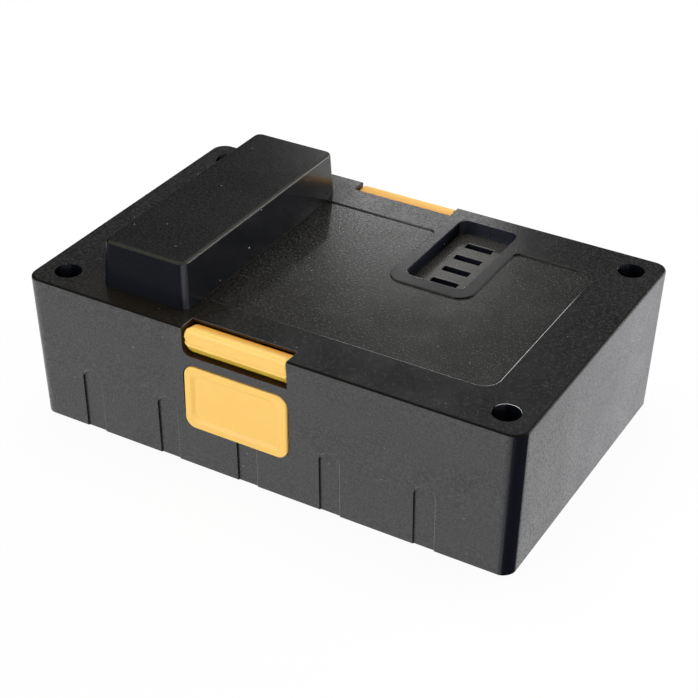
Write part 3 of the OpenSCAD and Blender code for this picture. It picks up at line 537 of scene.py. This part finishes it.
def buildTub():
    tub = cadCopy("tub", "lower_housing")
    cutters = [edgeRing(caseOutline, 0, case["footRound"], -1, caseLean),
               edgeRing(caseOutline, partingZ, case["partingRound"], 1, caseLean)]
    width, height, radius = case["padOpening"]
    padOutline = filletOutline(rectangle(-width / 2, -height / 2, width / 2, height / 2, radius))
    half = case["notchHalf"]
    turn = case["notchRadius"]
    sunk = case["fillerSunk"]
    fillers = []
    for side in (-1, 1):                   # the notch is rounded at its left end alone
        corner = [Vector((side * (half + sunk), -sunk)), Vector((side * (half + sunk), turn))]
        corner += [Vector((side * (half - turn + turn * math.cos(a)), turn - turn * math.sin(a)))
                   for a in arc(0, 90, 8)]
        corner.append(Vector((side * (half - turn), -sunk)))
        seat = wallSeat(side, latchX, case["notchZ"])
        profile = [(0, -case["notchDepth"]), (0, -case["fillerShy"])]
        fillers.append(loft("filler", seatRings(seat, corner, profile)))
    combine(tub, fillers, "UNION")
    fluteWidth, fluteHeight = case["flute"]
    fluteFoot = case["fluteFoot"]
    arch = fluteWidth / 2 - 0.01           # a hair under half round
    fluteOutline = filletOutline([(-fluteWidth / 2, fluteFoot, 0), (fluteWidth / 2, fluteFoot, 0),
                                  (fluteWidth / 2, fluteHeight, arch),
                                  (-fluteWidth / 2, fluteHeight, arch)], 10)
    for side in (-1, 1):
        cutters.append(mouthPlug(wallSeat(side, latchX, case["padZ"]), padOutline, case["mouthRound"]))
        notchOutline = filletOutline([
            (-half, 0, turn if side < 0 else 0), (half, 0, turn if side > 0 else 0),
            (half, case["notchTop"], 0), (-half, case["notchTop"], 0)])
        cutters.append(mouthPlug(wallSeat(side, latchX, case["notchZ"]), notchOutline,
                                 case["mouthRound"]))
        for x in case["fluteAt"]:
            cutters.append(mouthPlug(wallSeat(side, x - halfLength, 0), fluteOutline,
                                     case["fluteRound"]))
    combine(tub, cutters)

    notchSide, notchUnder, fluteSlack = 0.2, 0.1, 0.3  # mm that a face may lie past an edge
    footBand = 1                           # mm above the foot where the flutes aren't scuffed

    def finishFor(p, n):                   # p is a face's middle in mm, n the way that it faces
        onWall = abs(p.y) > halfWidth - case["wallBand"]
        inNotch = onWall and abs(p.x - latchX) < half + notchSide and p.z > case["notchZ"] - notchUnder
        inFlute = onWall and footBand < p.z < fluteHeight + fluteSlack and any(
            abs(p.x - x + halfLength) < fluteWidth / 2 + fluteSlack for x in case["fluteAt"])
        if inNotch and abs(n.y) < 0.6:
            # painted reflection of the yellow latch inside the notch
            return latchReflectionNylon
        # painted highlight on each flute's right wall and arch
        if inFlute and (n.x < -0.3 or n.z < -0.3):
            return fluteHighlightNylon
        return sparkNylon

    finishSkin(tub, [sparkNylon, latchReflectionNylon, fluteHighlightNylon], finishFor)
    install(tub, "pack", "case_plastic", "lower_housing")


buildTub()
print("tub made")

cover = {
    "bossX": [-58.0, -28.6],
    "bossY": [-43.8, 40.4],
    "field": [63.1, 34.875, 5.0, 2.0],      # far end, half width, corner radii, plain and by the well
    "fieldDepth": 0.45,
    "fieldRound": 0.3,
    "fieldFoot": 0.1,                       # rounding at the foot of the field's wall
    "wellMiddle": [23.6, 26.375],
    "well": [19.4, 38.8, 3.0],
    "wellBorder": [3.9, 4.9, 5.0],          # width at the sides and in front, outer corner radius
    "wellFloor": 42.8,
    "wellRound": 0.16,
    "bedInset": [2.0, 3.5],                 # at the sides and the ends
    "bedHeight": 0.4,
    "bedRadius": 1.5,
    "bedRound": 0.25,
    "slots": 4,
    "slot": [8.6, 2.9, 7.86],               # length, width, pitch
    "slotRound": 0.22,
    "screwAt": [71.016, 42.690],
    "screwWell": 4.0,
    "screwRound": 0.12,
    "notchBack": 45.801,
    "notchPast": 4,                         # mm, well past the cover's edge
    "notchRound": 0.15,
}


def circleOutline(x, y, radius, steps=50, first=2):  # starts off the CAD circle's own corners
    return [Vector((x + radius * math.cos(a), y + radius * math.sin(a)))
            for a in arc(first, first + 360 - 360 / steps, steps - 1)]


def buildCover():
    hair = 0.02                            # mm, clear of a face or past an edge
    top = case["height"]
    piece = cadCopy("cover", "top_cover")
    cutters = [edgeRing(caseOutline, partingZ, case["partingRound"], -1, noLean)]
    wellX, wellY = cover["wellMiddle"]
    wellL, wellW, wellR = cover["well"]
    border, frontBorder, borderR = cover["wellBorder"]
    fieldEnd, fieldHalf, fieldR, turnR = cover["field"]
    left = cover["bossX"][1] + hair
    nearX = wellX - wellL / 2 - border
    farX = wellX + wellL / 2 + border
    nearY = wellY - wellW / 2 - frontBorder
    field = filletOutline([
        (left, -fieldHalf, 0), (fieldEnd, -fieldHalf, fieldR), (fieldEnd, fieldHalf, fieldR),
        (farX, fieldHalf, turnR), (farX, nearY, borderR), (nearX, nearY, borderR),
        (nearX, fieldHalf, turnR), (left, fieldHalf, 0)], 10)
    rounding = cover["fieldRound"]
    foot = cover["fieldFoot"]
    depth = cover["fieldDepth"]
    profile = [(rounding + overrun, 1), (rounding + overrun, skim)]
    profile += [(rounding - rounding * math.sin(a) + hair, rounding * math.cos(a) - rounding)
                for a in arc(8, 90, 5)]
    profile += [(hair - foot * (1 - math.cos(a)), foot - hair - depth - foot * math.sin(a))
                for a in arc(0, 90, 3)]
    rings = seatRings(raised(top), field, profile)
    for ring in rings:
        for p in ring:
            p.x = max(p.x, left * mm)
    cutters.append(loft("fieldCutter", rings))
    wellOutline = filletOutline(rectangle(wellX - wellL / 2, wellY - wellW / 2,
                                          wellX + wellL / 2, wellY + wellW / 2, wellR), 13)
    cutters.append(mouthPlug(raised(top), wellOutline, cover["wellRound"]))
    sideIn, endIn = cover["bedInset"]
    bedTop = cover["wellFloor"] + cover["bedHeight"]
    bedOutline = filletOutline(rectangle(
        wellX - wellL / 2 + sideIn, wellY - wellW / 2 + endIn,
        wellX + wellL / 2 - sideIn, wellY + wellW / 2 - endIn, cover["bedRadius"]))
    cutters.append(edgeRing(bedOutline, bedTop, cover["bedRound"], 1, noLean))
    slotL, slotW, slotPitch = cover["slot"]
    for i in range(cover["slots"]):
        y = wellY + (i - (cover["slots"] - 1) / 2) * slotPitch
        slotOutline = filletOutline(rectangle(wellX - slotL / 2, y - slotW / 2,
                                              wellX + slotL / 2, y + slotW / 2, 0))
        cutters.append(mouthPlug(raised(bedTop), slotOutline, cover["slotRound"]))
    screwX, screwY = cover["screwAt"]
    for x in (-screwX, screwX):
        for y in (-screwY, screwY):
            cutters.append(mouthPlug(raised(top), circleOutline(x, y, cover["screwWell"]),
                                     cover["screwRound"]))
    half = case["notchHalf"]
    for side in (-1, 1):
        back = side * cover["notchBack"]
        outside = side * (halfWidth + cover["notchPast"])
        notchOutline = filletOutline(rectangle(latchX - half, min(back, outside), latchX + half,
                                               max(back, outside), 0))
        cutters.append(mouthPlug(raised(top), notchOutline, cover["notchRound"]))
    combine(piece, cutters)

    bossLeft, bossRight = cover["bossX"]
    bossFront, bossBack = cover["bossY"]
    finishes = [blastedNylon, etchedNylon, polishedNylon, buffedNylon, deckNylon, drawnNylon,
                sparkNylon, rimHighlightNylon, latchReflectionNylon, trimmedNylon, edgeHighlightNylon, handledNylon]
    slack, notchUnder = 0.1, 0.01          # mm that a face may lie past an edge
    floorSlack, lipUnder, floorBand = 0.01, 0.005, 0.03
    fieldBand, edgeBand, screwBand = 0.5, 0.8, 0.15  # mm round the field, the rim and a screw well
    flat = 0.985                           # a face that leans less than about 10 degrees

    def finishFor(p, n):                   # p is a face's middle in mm, n the way that it faces
        overBoss = (bossLeft - hair < p.x < bossRight + hair and bossFront - hair < p.y < bossBack + hair
                    and p.z > top + hair)
        inWell = (abs(p.x - wellX) < wellL / 2 + hair and abs(p.y - wellY) < wellW / 2 + hair
                  and p.z < top - hair)
        inNotch = (abs(p.x - latchX) < half + slack and abs(p.y) > cover["notchBack"] - slack
                   and p.z < top - notchUnder)
        inField = left - slack < p.x < fieldEnd + fieldBand and abs(p.y) < fieldHalf + fieldBand
        onFieldWall = inField and top - depth - floorSlack < p.z < top - lipUnder
        onEdge = outerInset(p) < edgeBand
        byScrew = math.hypot(abs(p.x) - screwX, abs(p.y) - screwY) < cover["screwWell"] + screwBand
        if overBoss:
            if n.x < -0.1 and n.z > 0.2:
                return trimmedNylon
            if n.z < 0.35:
                return buffedNylon if n.x > 0.98 else polishedNylon
            # the boss's rounded top edges take a painted highlight
            return edgeHighlightNylon if n.z < flat else handledNylon
        if inWell:
            if n.x > 0.5:
                return polishedNylon
            return deckNylon if n.z > 0.6 else drawnNylon
        if inNotch and n.z < 0.6:
            # painted reflection of the yellow latch inside the notch
            return latchReflectionNylon
        if inField and n.z > 0.95 and abs(p.z - top + depth) < floorBand:
            return etchedNylon
        if onFieldWall:
            if n.y > 0.1 or (n.x < -0.1 and p.x > fieldEnd - fieldR and p.y < fieldHalf - fieldR):
                # painted highlight on the field's front and right walls
                return rimHighlightNylon
            if n.x > 0.1:
                return trimmedNylon
            if n.y < -0.1:
                # the field's walls that face the front, right of the well's near side, take a painted
                # highlight
                return edgeHighlightNylon if p.x > nearX else sparkNylon
            return blastedNylon
        if byScrew and n.z < 0.97:
            # painted highlight on the back of each screw well's rim
            return rimHighlightNylon if n.y < -0.3 and n.z > 0.2 else polishedNylon
        if onEdge and n.z < flat:
            return trimmedNylon if n.z > 0.3 else sparkNylon
        return blastedNylon

    finishSkin(piece, finishes, finishFor)
    install(piece, "pack", "case_plastic", "top_cover")


buildCover()
print("cover made")

latch = {
    "pad": [34.2, 21, 3.35],                # width, height, corner radius
    "padOut": 51.575,
    "padSunk": 0.5,                         # mm that the pad goes into the web
    "padEdge": 0.55,
    "padRim": 1.9,
    "padSlope": 1.6,
    "padDish": 0.8,
    "innerRadius": 2.4,
    "web": [45.801, 47.801],                # inner and outer face
    "webHalf": 19.3,
    "webZ": [11.9, 37.3],
    "webCorner": 0.8,
    "neck": [0.4, 0.6, 0.2],                # inset at the ends, rise into the hook, corner radius
    "softEdge": 0.3,
    "hookHalf": 16.8,
    "hookOut": 51.375,
    "hookBottom": 39.1,
    "hookCrest": 47.05,
    "hookBack": 45.95,                      # height of the hook's top at the web
    "nose": [1.2, 2.1],                     # depth and fall
    "bevel": [1.6, 2.7],
    "bevelRounds": [0.4, 0.8],              # lower and upper
    "leftEnd": [2.0, 0.5],                  # rounding seen from the front and from above
    "rightEnd": [0.35, 0.3],
    "hookMiddle": 43.2,
    "pegAt": 10,
    "peg": [1.9, 1.5],
}


def padRing(inset, out):
    width, height, radius = latch["pad"]
    corner = max(radius - inset, latch["innerRadius"])
    outline = filletOutline(rectangle(inset - width / 2, inset - height / 2,
                                      width / 2 - inset, height / 2 - inset, corner), 10)
    return [Vector((latchX + p.x, -out, case["padZ"] + p.y)) * mm for p in outline]


def buildLatch(name):
    webIn, webOut = latch["web"]
    out = latch["padOut"]
    edge = latch["padEdge"]
    rings = [padRing(0, webOut - latch["padSunk"])]
    rings += [padRing(edge - edge * math.cos(a), out - edge + edge * math.sin(a)) for a in arc(0, 90, 5)]
    dishSteps = 8
    for k in range(dishSteps + 1):
        ease = k / dishSteps
        rings.append(padRing(latch["padRim"] + latch["padSlope"] * ease,
                             out - latch["padDish"] * ease * ease * (3 - 2 * ease)))
    piece = loft(name, rings)
    bottom, crest, face = latch["hookBottom"], latch["hookCrest"], latch["hookOut"]
    bevelIn, bevelUp = latch["bevel"]
    noseDepth, noseFall = latch["nose"]
    lowRound, highRound = latch["bevelRounds"]
    profile = filletOutline([(webIn, latch["hookBack"], 0), (webIn, bottom, 0),
                             (face - bevelIn, bottom, lowRound),
                             (face, bottom + bevelUp, highRound)], 5)
    profile += [Vector((face - noseDepth * (1 - math.cos(a)), crest - noseFall * (1 - math.sin(a))))
                for a in arc(0, 90, 8)]
    half = latch["hookHalf"]
    middle = latch["hookMiddle"]
    stations = []
    for hand, (endRound, endDepth) in ((-1, latch["leftEnd"]), (1, latch["rightEnd"])):
        end = [(hand * (half - endRound * (1 - math.sin(a))), 1 - math.cos(a)) for a in arc(0, 90, 9)]
        stations += [(x, inset * endDepth, inset * endRound) for x, inset in end[::hand]]
    rings = []
    for x, recess, fall in stations:
        shareOut = 1 - recess / (face - webIn)
        shareUp = 1 - fall / (crest - middle)
        rings.append([Vector((latchX + x, -webIn - (p.x - webIn) * shareOut,
                              middle + (p.y - middle) * shareUp)) * mm for p in profile])
    parts = [loft("hook", rings)]
    webLow, webHigh = latch["webZ"]
    webHalf = latch["webHalf"]
    facing = (Vector((latchX, 0, 0)), Vector((1, 0, 0)), Vector((0, 0, 1)), Vector((0, -1, 0)))
    neckIn, neckUp, neckCorner = latch["neck"]
    plates = [rectangle(-webHalf, webLow, webHalf, webHigh, latch["webCorner"]),
              rectangle(-half + neckIn, case["padZ"], half - neckIn, bottom + neckUp, neckCorner)]
    softEdge = latch["softEdge"]
    for plate in plates:
        outline = filletOutline(plate, 4)
        profile = [(-softEdge, webIn), (0, webIn + softEdge),
                   (0, webOut - softEdge), (-softEdge, webOut)]
        parts.append(loft("web", seatRings(facing, outline, profile)))
    pegR, pegL = latch["peg"]
    for side in (-1, 1):
        outline = circleOutline(side * latch["pegAt"], case["padZ"], pegR, 32)
        profile = [(-softEdge, webIn - pegL), (0, webIn - pegL + softEdge), (0, webIn + softEdge)]
        parts.append(loft("peg", seatRings(facing, outline, profile)))
    combine(piece, parts, "UNION")
    bevelSlack = 0.1                       # mm

    def finishFor(p, n):
        onBevel = bottom - bevelSlack < p.z < bottom + bevelUp - bevelSlack
        # the hook's downward bevel takes painted shade
        return undersideShadeAbs if onBevel and n.z < -0.2 else satinAbs

    finishSkin(piece, [satinAbs, undersideShadeAbs], finishFor)
    return piece


frontLatch = buildLatch("frontLatch")
rearLatch = frontLatch.copy()
rearLatch.data = frontLatch.data.copy()
rearLatch.name = "rearLatch"
rearLatch.data.transform(Matrix.Scale(-1, 4, Vector((0, 1, 0))))
rearLatch.data.flip_normals()
scene.collection.objects.link(rearLatch)
install(frontLatch, "front_latch", "latch_plastic", "front_latch")
install(rearLatch, "rear_latch", "latch_plastic", "rear_latch")
print("latches made")


# Inside the case all but the foam and the springs keep their CAD shape, and get their real finish.

# Worked metal: streaks along the way it was drawn, rolled or cut, and patches of tarnish.
def workedMetal(name, colour, tarnish, roughness, streak, patch=3, spread=0.08, depth=0.002):
    material, tree, surface, place = freshMaterial(name, {"Metallic": 1.0})
    stretched = addNode(tree, "ShaderNodeVectorMath", {
        "operation": "MULTIPLY", 1: [perMillimetre(size) for size in streak]}, {0: place})
    streaks = addNode(tree, "ShaderNodeTexNoise", {"Scale": 1.0, "Detail": 3.0},
                      {"Vector": stretched.outputs["Vector"]})
    patches = addNode(tree, "ShaderNodeTexNoise", {"Scale": perMillimetre(patch), "Detail": 4.0},
                      {"Vector": place})
    tint = addNode(tree, "ShaderNodeValToRGB", None, {"Fac": patches.outputs["Fac"]})
    fillRamp(tint.color_ramp, [(0.3, shade(tarnish)), (0.6, shade(colour))])
    gloss = addNode(tree, "ShaderNodeMapRange", {
        "From Min": noiseLow, "From Max": noiseHigh, "To Min": roughness - spread,
        "To Max": roughness + spread}, {"Value": streaks.outputs["Fac"]})
    bump = addNode(tree, "ShaderNodeBump", {"Distance": depth * mm}, {"Height": streaks.outputs["Fac"]})
    joinSurface(tree, surface, tint.outputs["Color"], gloss.outputs["Result"], bump)
    return material


# Glass-epoxy board under green lacquer: raised copper tracks, a faint weave and a wet shine.
def lacquerBoard(name, bare, track, pitch, field, weave, trackHeight=0.03, weaveShare=0.25):
    material, tree, surface, place = freshMaterial(name, {"IOR": 1.55, "Specular IOR Level": 0.6})
    bandsPerScale = math.pi / 10           # a wave texture of scale 1 repeats in this many metres
    runs = [addNode(tree, "ShaderNodeTexWave", {
        "wave_type": "BANDS", "bands_direction": way, "Scale": bandsPerScale / (pitch * mm)},
        {"Vector": place}) for way in ("X", "Y")]
    areas = addNode(tree, "ShaderNodeTexVoronoi", {
        "distance": "CHEBYCHEV", "Scale": perMillimetre(field), "Randomness": 0.7}, {"Vector": place})
    picked = addNode(tree, "ShaderNodeMath", {"operation": "GREATER_THAN", 1: 0.5},
                     {0: areas.outputs["Color"]})
    lines = addNode(tree, "ShaderNodeMix", {"data_type": "RGBA"}, {
        "Factor": picked.outputs["Value"],
        mixA: runs[0].outputs["Color"], mixB: runs[1].outputs["Color"]})
    copper = addNode(tree, "ShaderNodeMapRange", {"From Min": 0.55, "From Max": 0.75},
                     {"Value": lines.outputs[mixOut]})
    tint = addNode(tree, "ShaderNodeMix", {"data_type": "RGBA", mixA: shade(bare), mixB: shade(track)},
                   {"Factor": copper.outputs["Result"]})
    threads = addNode(tree, "ShaderNodeTexNoise", {"Scale": perMillimetre(weave), "Detail": 2.0},
                      {"Vector": place})
    gloss = addNode(tree, "ShaderNodeMapRange", {"To Min": 0.2, "To Max": 0.36},
                    {"Value": threads.outputs["Fac"]})
    height = addNode(tree, "ShaderNodeMath", {"operation": "MULTIPLY_ADD", 1: weaveShare},
                     {0: threads.outputs["Fac"], 2: copper.outputs["Result"]})
    bump = addNode(tree, "ShaderNodeBump", {"Distance": trackHeight * mm},
                   {"Height": height.outputs["Value"]})
    joinSurface(tree, surface, tint.outputs[mixOut], gloss.outputs["Result"], bump)
    return material


# Closed-cell foam, cut from a sheet: open cut cells that give a dry, dark, pitted face.
def cellFoam(name, wall, hollow, cell, depth=0.2):
    material, tree, surface, place = freshMaterial(name, {"IOR": 1.45, "Specular IOR Level": 0.2})
    cells = addNode(tree, "ShaderNodeTexVoronoi", {"Scale": perMillimetre(cell)}, {"Vector": place})
    tint = addNode(tree, "ShaderNodeValToRGB", None, {"Fac": cells.outputs["Distance"]})
    fillRamp(tint.color_ramp, [(0.1, shade(hollow)), (0.6, shade(wall))])
    dry = addNode(tree, "ShaderNodeMapRange", {"To Min": 0.95, "To Max": 0.75},
                  {"Value": cells.outputs["Distance"]})
    bump = addNode(tree, "ShaderNodeBump", {"Distance": depth * mm},
                   {"Height": cells.outputs["Distance"]})
    joinSurface(tree, surface, tint.outputs["Color"], dry.outputs["Result"], bump)
    return material


def dress(finish, *starts):            # gives a finish to the CAD nodes with names that start so
    for name, node in nodes.items():
        if name.startswith(starts):
            if not node.material_slots:
                node.data.materials.append(None)
            for slot in node.material_slots:
                slot.material = finish


# Polycarbonate holders: dark grey with a plain satin skin.
dress(mouldedPlastic("polycarbonate_moulded", colour="#3a3a3c", dark="#323234", fleck="#444446",
                     ior=1.58, roughness=0.4, depth=0.01), "front_cell_holder", "rear_cell_holder")
# Shrunk PVC sleeve: blue and slightly waxy, over cans whose plated ends look pale.
dress(mouldedPlastic("pvc_shrunk_sleeve", colour="#2b5f92", dark="#25527f", fleck="#3369a0", ior=1.54,
                     roughness=0.28, marks=8, depth=0.01, blends=[
                         ([("Normal", (0, way, 0), 0.85, 0.95)], "#a9a69f", 0.9) for way in (1, -1)]),
      "lower_cell", "upper_cell")
# Polyester contact block: black, with glass fibre just showing in the skin.
dress(mouldedPlastic("polyester_glass_filled", colour="#161617", dark="#101011", fleck="#242425",
                     ior=1.57, roughness=0.38, depth=0.012), "contact_block")
# Moulding resin of the chips: matt charcoal with a fine spark-eroded grain.
dress(mouldedPlastic("epoxy_transfer_moulded", colour="#1c1c1d", dark="#151516", fleck="#2a2a2b",
                     grain=0.25, roughness=0.55, marks=5, depth=0.01),
      "power_transistors", "controller_chip")
# Natural polyamide header: milky ivory with a soft sheen.
dress(mouldedPlastic("polyamide_natural_moulded", colour="#dbd6c7", dark="#d0cab8", fleck="#e2ddd0",
                     ior=1.53, roughness=0.42, marks=6, dustColour="#b9b2a0"), "sense_header")
# Silicone wire covers: soft and slightly chalky, in red and in white.
dress(mouldedPlastic("silicone_extruded_red", colour="#b3211c", dark="#9d1a17", fleck="#bf2c25",
                     ior=1.43, roughness=0.5, marks=6, depth=0.008), "positive_lead")
dress(mouldedPlastic("silicone_extruded_white", colour="#dcdad4", dark="#cfccc4", fleck="#e4e2dd",
                     ior=1.43, roughness=0.5, marks=6, depth=0.008, dustColour="#b4b0a6"), "sense_wires")
# Dipped epoxy bead: dark and glossy, with a skin that ran a little.
dress(mouldedPlastic("epoxy_dipped", colour="#201c18", dark="#181511", fleck="#28231e",
                     roughness=0.18, marks=3, depth=0.02), "thermistor")
# Vulcanised fibre sheet: tan, dry and faintly fibrous.
dress(mouldedPlastic("fibre_sheet_vulcanised", colour="#c9b583", dark="#bba671", fleck="#d6c597",
                     ior=1.5, level=0.25, roughness=0.75, grain=0.6, marks=7, depth=0.02,
                     dustColour="#9c8a5c"), "front_insulator", "rear_insulator")
dress(lacquerBoard("glass_epoxy_lacquered", bare="#0f4a2b", track="#1c6a3f", pitch=1.8, field=9,
                   weave=0.5), "protection_board")
# Zinc plating is a bluish silver with dull patches; the turning marks run round the head.
dress(workedMetal("steel_zinc_plated", colour="#c9ccd0", tarnish="#a4a8ae", roughness=0.3,
                  streak=(0.3, 0.3, 0.1)), "case_screws", "board_screws")
# Rolled nickel is a warm silver, with straight rolling lines.
dress(workedMetal("nickel_rolled", colour="#cfc8ba", tarnish="#aaa294", roughness=0.28,
                  streak=(4, 0.2, 0.12)),
      "positive_strip", "negative_strip", "front_strip", "rear_strip")
# Stamped brass is yellow and slightly browned where it was bent.
dress(workedMetal("brass_stamped", colour="#d9b65c", tarnish="#a8843c", roughness=0.26,
                  streak=(0.15, 0.15, 2)), "contact_clip")
# The shunt's rolled alloy is a coppery grey.
dress(workedMetal("manganin_rolled", colour="#b98f74", tarnish="#8f6c56", roughness=0.34,
                  streak=(3, 0.15, 0.15)), "shunt_resistor")
# Drawn cans are soft white aluminium with lines up the side.
dress(workedMetal("aluminium_drawn", colour="#d6d8da", tarnish="#b9bcc0", roughness=0.3,
                  streak=(0.12, 0.12, 3)), "capacitors")
print("inner pieces dressed")

foam = {
    "length": 5.0,                          # mm along the case
    "corner": 0.8,
    "squeeze": 0.45,                        # how far the pressed ends draw in from the free waist
    "fill": 0.9,
    "steps": 12,
}
foamFinish = cellFoam("polyethylene_foam_cut", wall="#3c3c3e", hollow="#222224", cell=0.7)


def buildFoam():                       # four blocks pressed between the holders and the cover
    low, high = [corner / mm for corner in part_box("foam_pads")]
    holderLow, holderHigh = [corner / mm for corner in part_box("front_cell_holder")]
    width = holderHigh.y - max(holderLow.y, low.y)
    rise = high.z - low.z
    shares = [k / foam["steps"] for k in range(foam["steps"] + 1)]
    blocks = []
    for x in (low.x, high.x - foam["length"]):
        for y in (low.y, high.y - width):
            outline = filletOutline(rectangle(x, y, x + foam["length"], y + width, foam["corner"]), 6)
            profile = [(-foam["squeeze"] * (2 * share - 1) ** 4, rise * share) for share in shares]
            blocks.append(loft("foamBlock", seatRings(raised(low.z), outline, profile)))
    piece = blocks[0]
    combine(piece, blocks[1:], "UNION")
    piece.name = "foamPads"
    finishSkin(piece, [foamFinish])
    install(piece, "pack", "foam", "foam_pads")


buildFoam()
print("foam made")

# Drawn spring wire is bright and even, with fine lines along it.
drawnWire = workedMetal("steel_wire_drawn", colour="#b9b8b4", tarnish="#96938d", roughness=0.24,
                        streak=(0.1, 0.5, 0.1))


def buildSprings():                    # coil springs behind each latch, in their CAD shape
    for joint in frame["record"]["behaviour"]["joints"]:
        latchBody = joint["name"].removesuffix("_press")
        node = latchBody + "_springs"
        piece = cadCopy(latchBody.replace("_latch", "Springs"), node)
        finishSkin(piece, [drawnWire])
        install(piece, "pack", "spring_steel", node)
        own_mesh(piece)


buildSprings()
print("springs made")


# Stage: a white floor, a pale studio wall that darkens upwards, and soft lamps.

studio = {
    "floorSize": 8,
    "floorColour": "#f2f2f2",
    "floorGlow": 0.95,                      # share of plain white that the floor shows
    "wallGlow": 1.6,                        # brightness of the studio wall against plain white
    "wallTop": [0.24, 0.32],                # sine of the height where it starts and ends to darken
    "wallDark": "#4d4d4d",
    "wallFaces": [(0.6, -0.8, 0), -0.55, -0.25],  # the way to its bright side, and where that ends
    "lamps": {                              # place in m, size in m, watts
        "overhead": [(-0.2, 0.15, 1.0), (0.9, 0.9), 8.5],
        "rightRear": [(0.62, 1.0, 0.2), (1.0, 0.3), 21.5],
        "frontLeft": [(-0.5, -1.1, 0.5), (0.8, 0.5), 5.3],
        "rearPanel": [(-0.519, 1.069, 0.529), (0.175, 0.319), 0.324],
    },
}


def buildFloor():
    half = studio["floorSize"] / 2
    bm = bmesh.new()
    bm.faces.new([bm.verts.new(p) for p in
                  ((-half, -half, 0), (half, -half, 0), (half, half, 0), (-half, half, 0))])
    floor = meshObject("floor", bm)
    material, tree, surface = freshMaterial("paper_sweep_matt", {
        "Base Color": shade(studio["floorColour"]), "Roughness": 0.9, "Specular IOR Level": 0.1})[:3]
    path = addNode(tree, "ShaderNodeLightPath")
    seen = path.outputs["Is Camera Ray"]
    for ray in ("Is Glossy Ray", "Is Transmission Ray"):
        seen = addNode(tree, "ShaderNodeMath", {"operation": "MAXIMUM"},
                       {0: seen, 1: path.outputs[ray]}).outputs["Value"]
    share = addNode(tree, "ShaderNodeMath", {"operation": "MULTIPLY", 1: studio["floorGlow"]}, {0: seen})
    glow = addNode(tree, "ShaderNodeEmission", {"Strength": 1.0})
    blend = addNode(tree, "ShaderNodeMixShader", None, {
        0: share.outputs["Value"], 1: surface.outputs["BSDF"], 2: glow.outputs["Emission"]})
    output = [n for n in tree.nodes if n.bl_idname == "ShaderNodeOutputMaterial"][0]
    tree.links.new(blend.outputs["Shader"], output.inputs["Surface"])
    floor.data.materials.append(material)


def buildWorld():
    world = bpy.data.worlds.new("studio")
    scene.world = world
    world.use_nodes = True
    tree = world.node_tree
    tree.nodes.clear()
    direction = addNode(tree, "ShaderNodeTexCoord").outputs["Generated"]
    split = addNode(tree, "ShaderNodeSeparateXYZ", None, {"Vector": direction})
    ramp = addNode(tree, "ShaderNodeValToRGB", None, {"Fac": split.outputs["Z"]})
    bright, dark = shade("#ffffff"), shade(studio["wallDark"])
    first, last = studio["wallTop"]
    fillRamp(ramp.color_ramp, [(0.0, bright), (first, bright), (last, dark), (1.0, dark)])
    towards, dim, full = studio["wallFaces"]
    facing = addNode(tree, "ShaderNodeVectorMath", {"operation": "DOT_PRODUCT", 1: towards},
                     {0: direction})
    share = addNode(tree, "ShaderNodeMapRange", {"From Min": dim, "From Max": full},
                    {"Value": facing.outputs["Value"]})
    wall = addNode(tree, "ShaderNodeMix", {"data_type": "RGBA", mixA: dark},
                   {"Factor": share.outputs["Result"], mixB: ramp.outputs["Color"]})
    sky = addNode(tree, "ShaderNodeBackground", {"Strength": studio["wallGlow"]},
                  {"Color": wall.outputs[mixOut]})
    addNode(tree, "ShaderNodeOutputWorld", None, {"Surface": sky.outputs["Background"]})


def buildLamps():
    for name, (place, size, power) in studio["lamps"].items():
        data = bpy.data.lights.new(name, "AREA")
        data.shape = "RECTANGLE"
        data.size, data.size_y = size
        data.energy = power
        lamp = bpy.data.objects.new(name, data)
        away = Vector(place).normalized()
        lamp.matrix_world = Matrix.Translation(place) @ away.to_track_quat("Z", "Y").to_matrix().to_4x4()
        lamp.visible_camera = False
        scene.collection.objects.link(lamp)


buildFloor()
buildWorld()
buildLamps()
print("stage set")
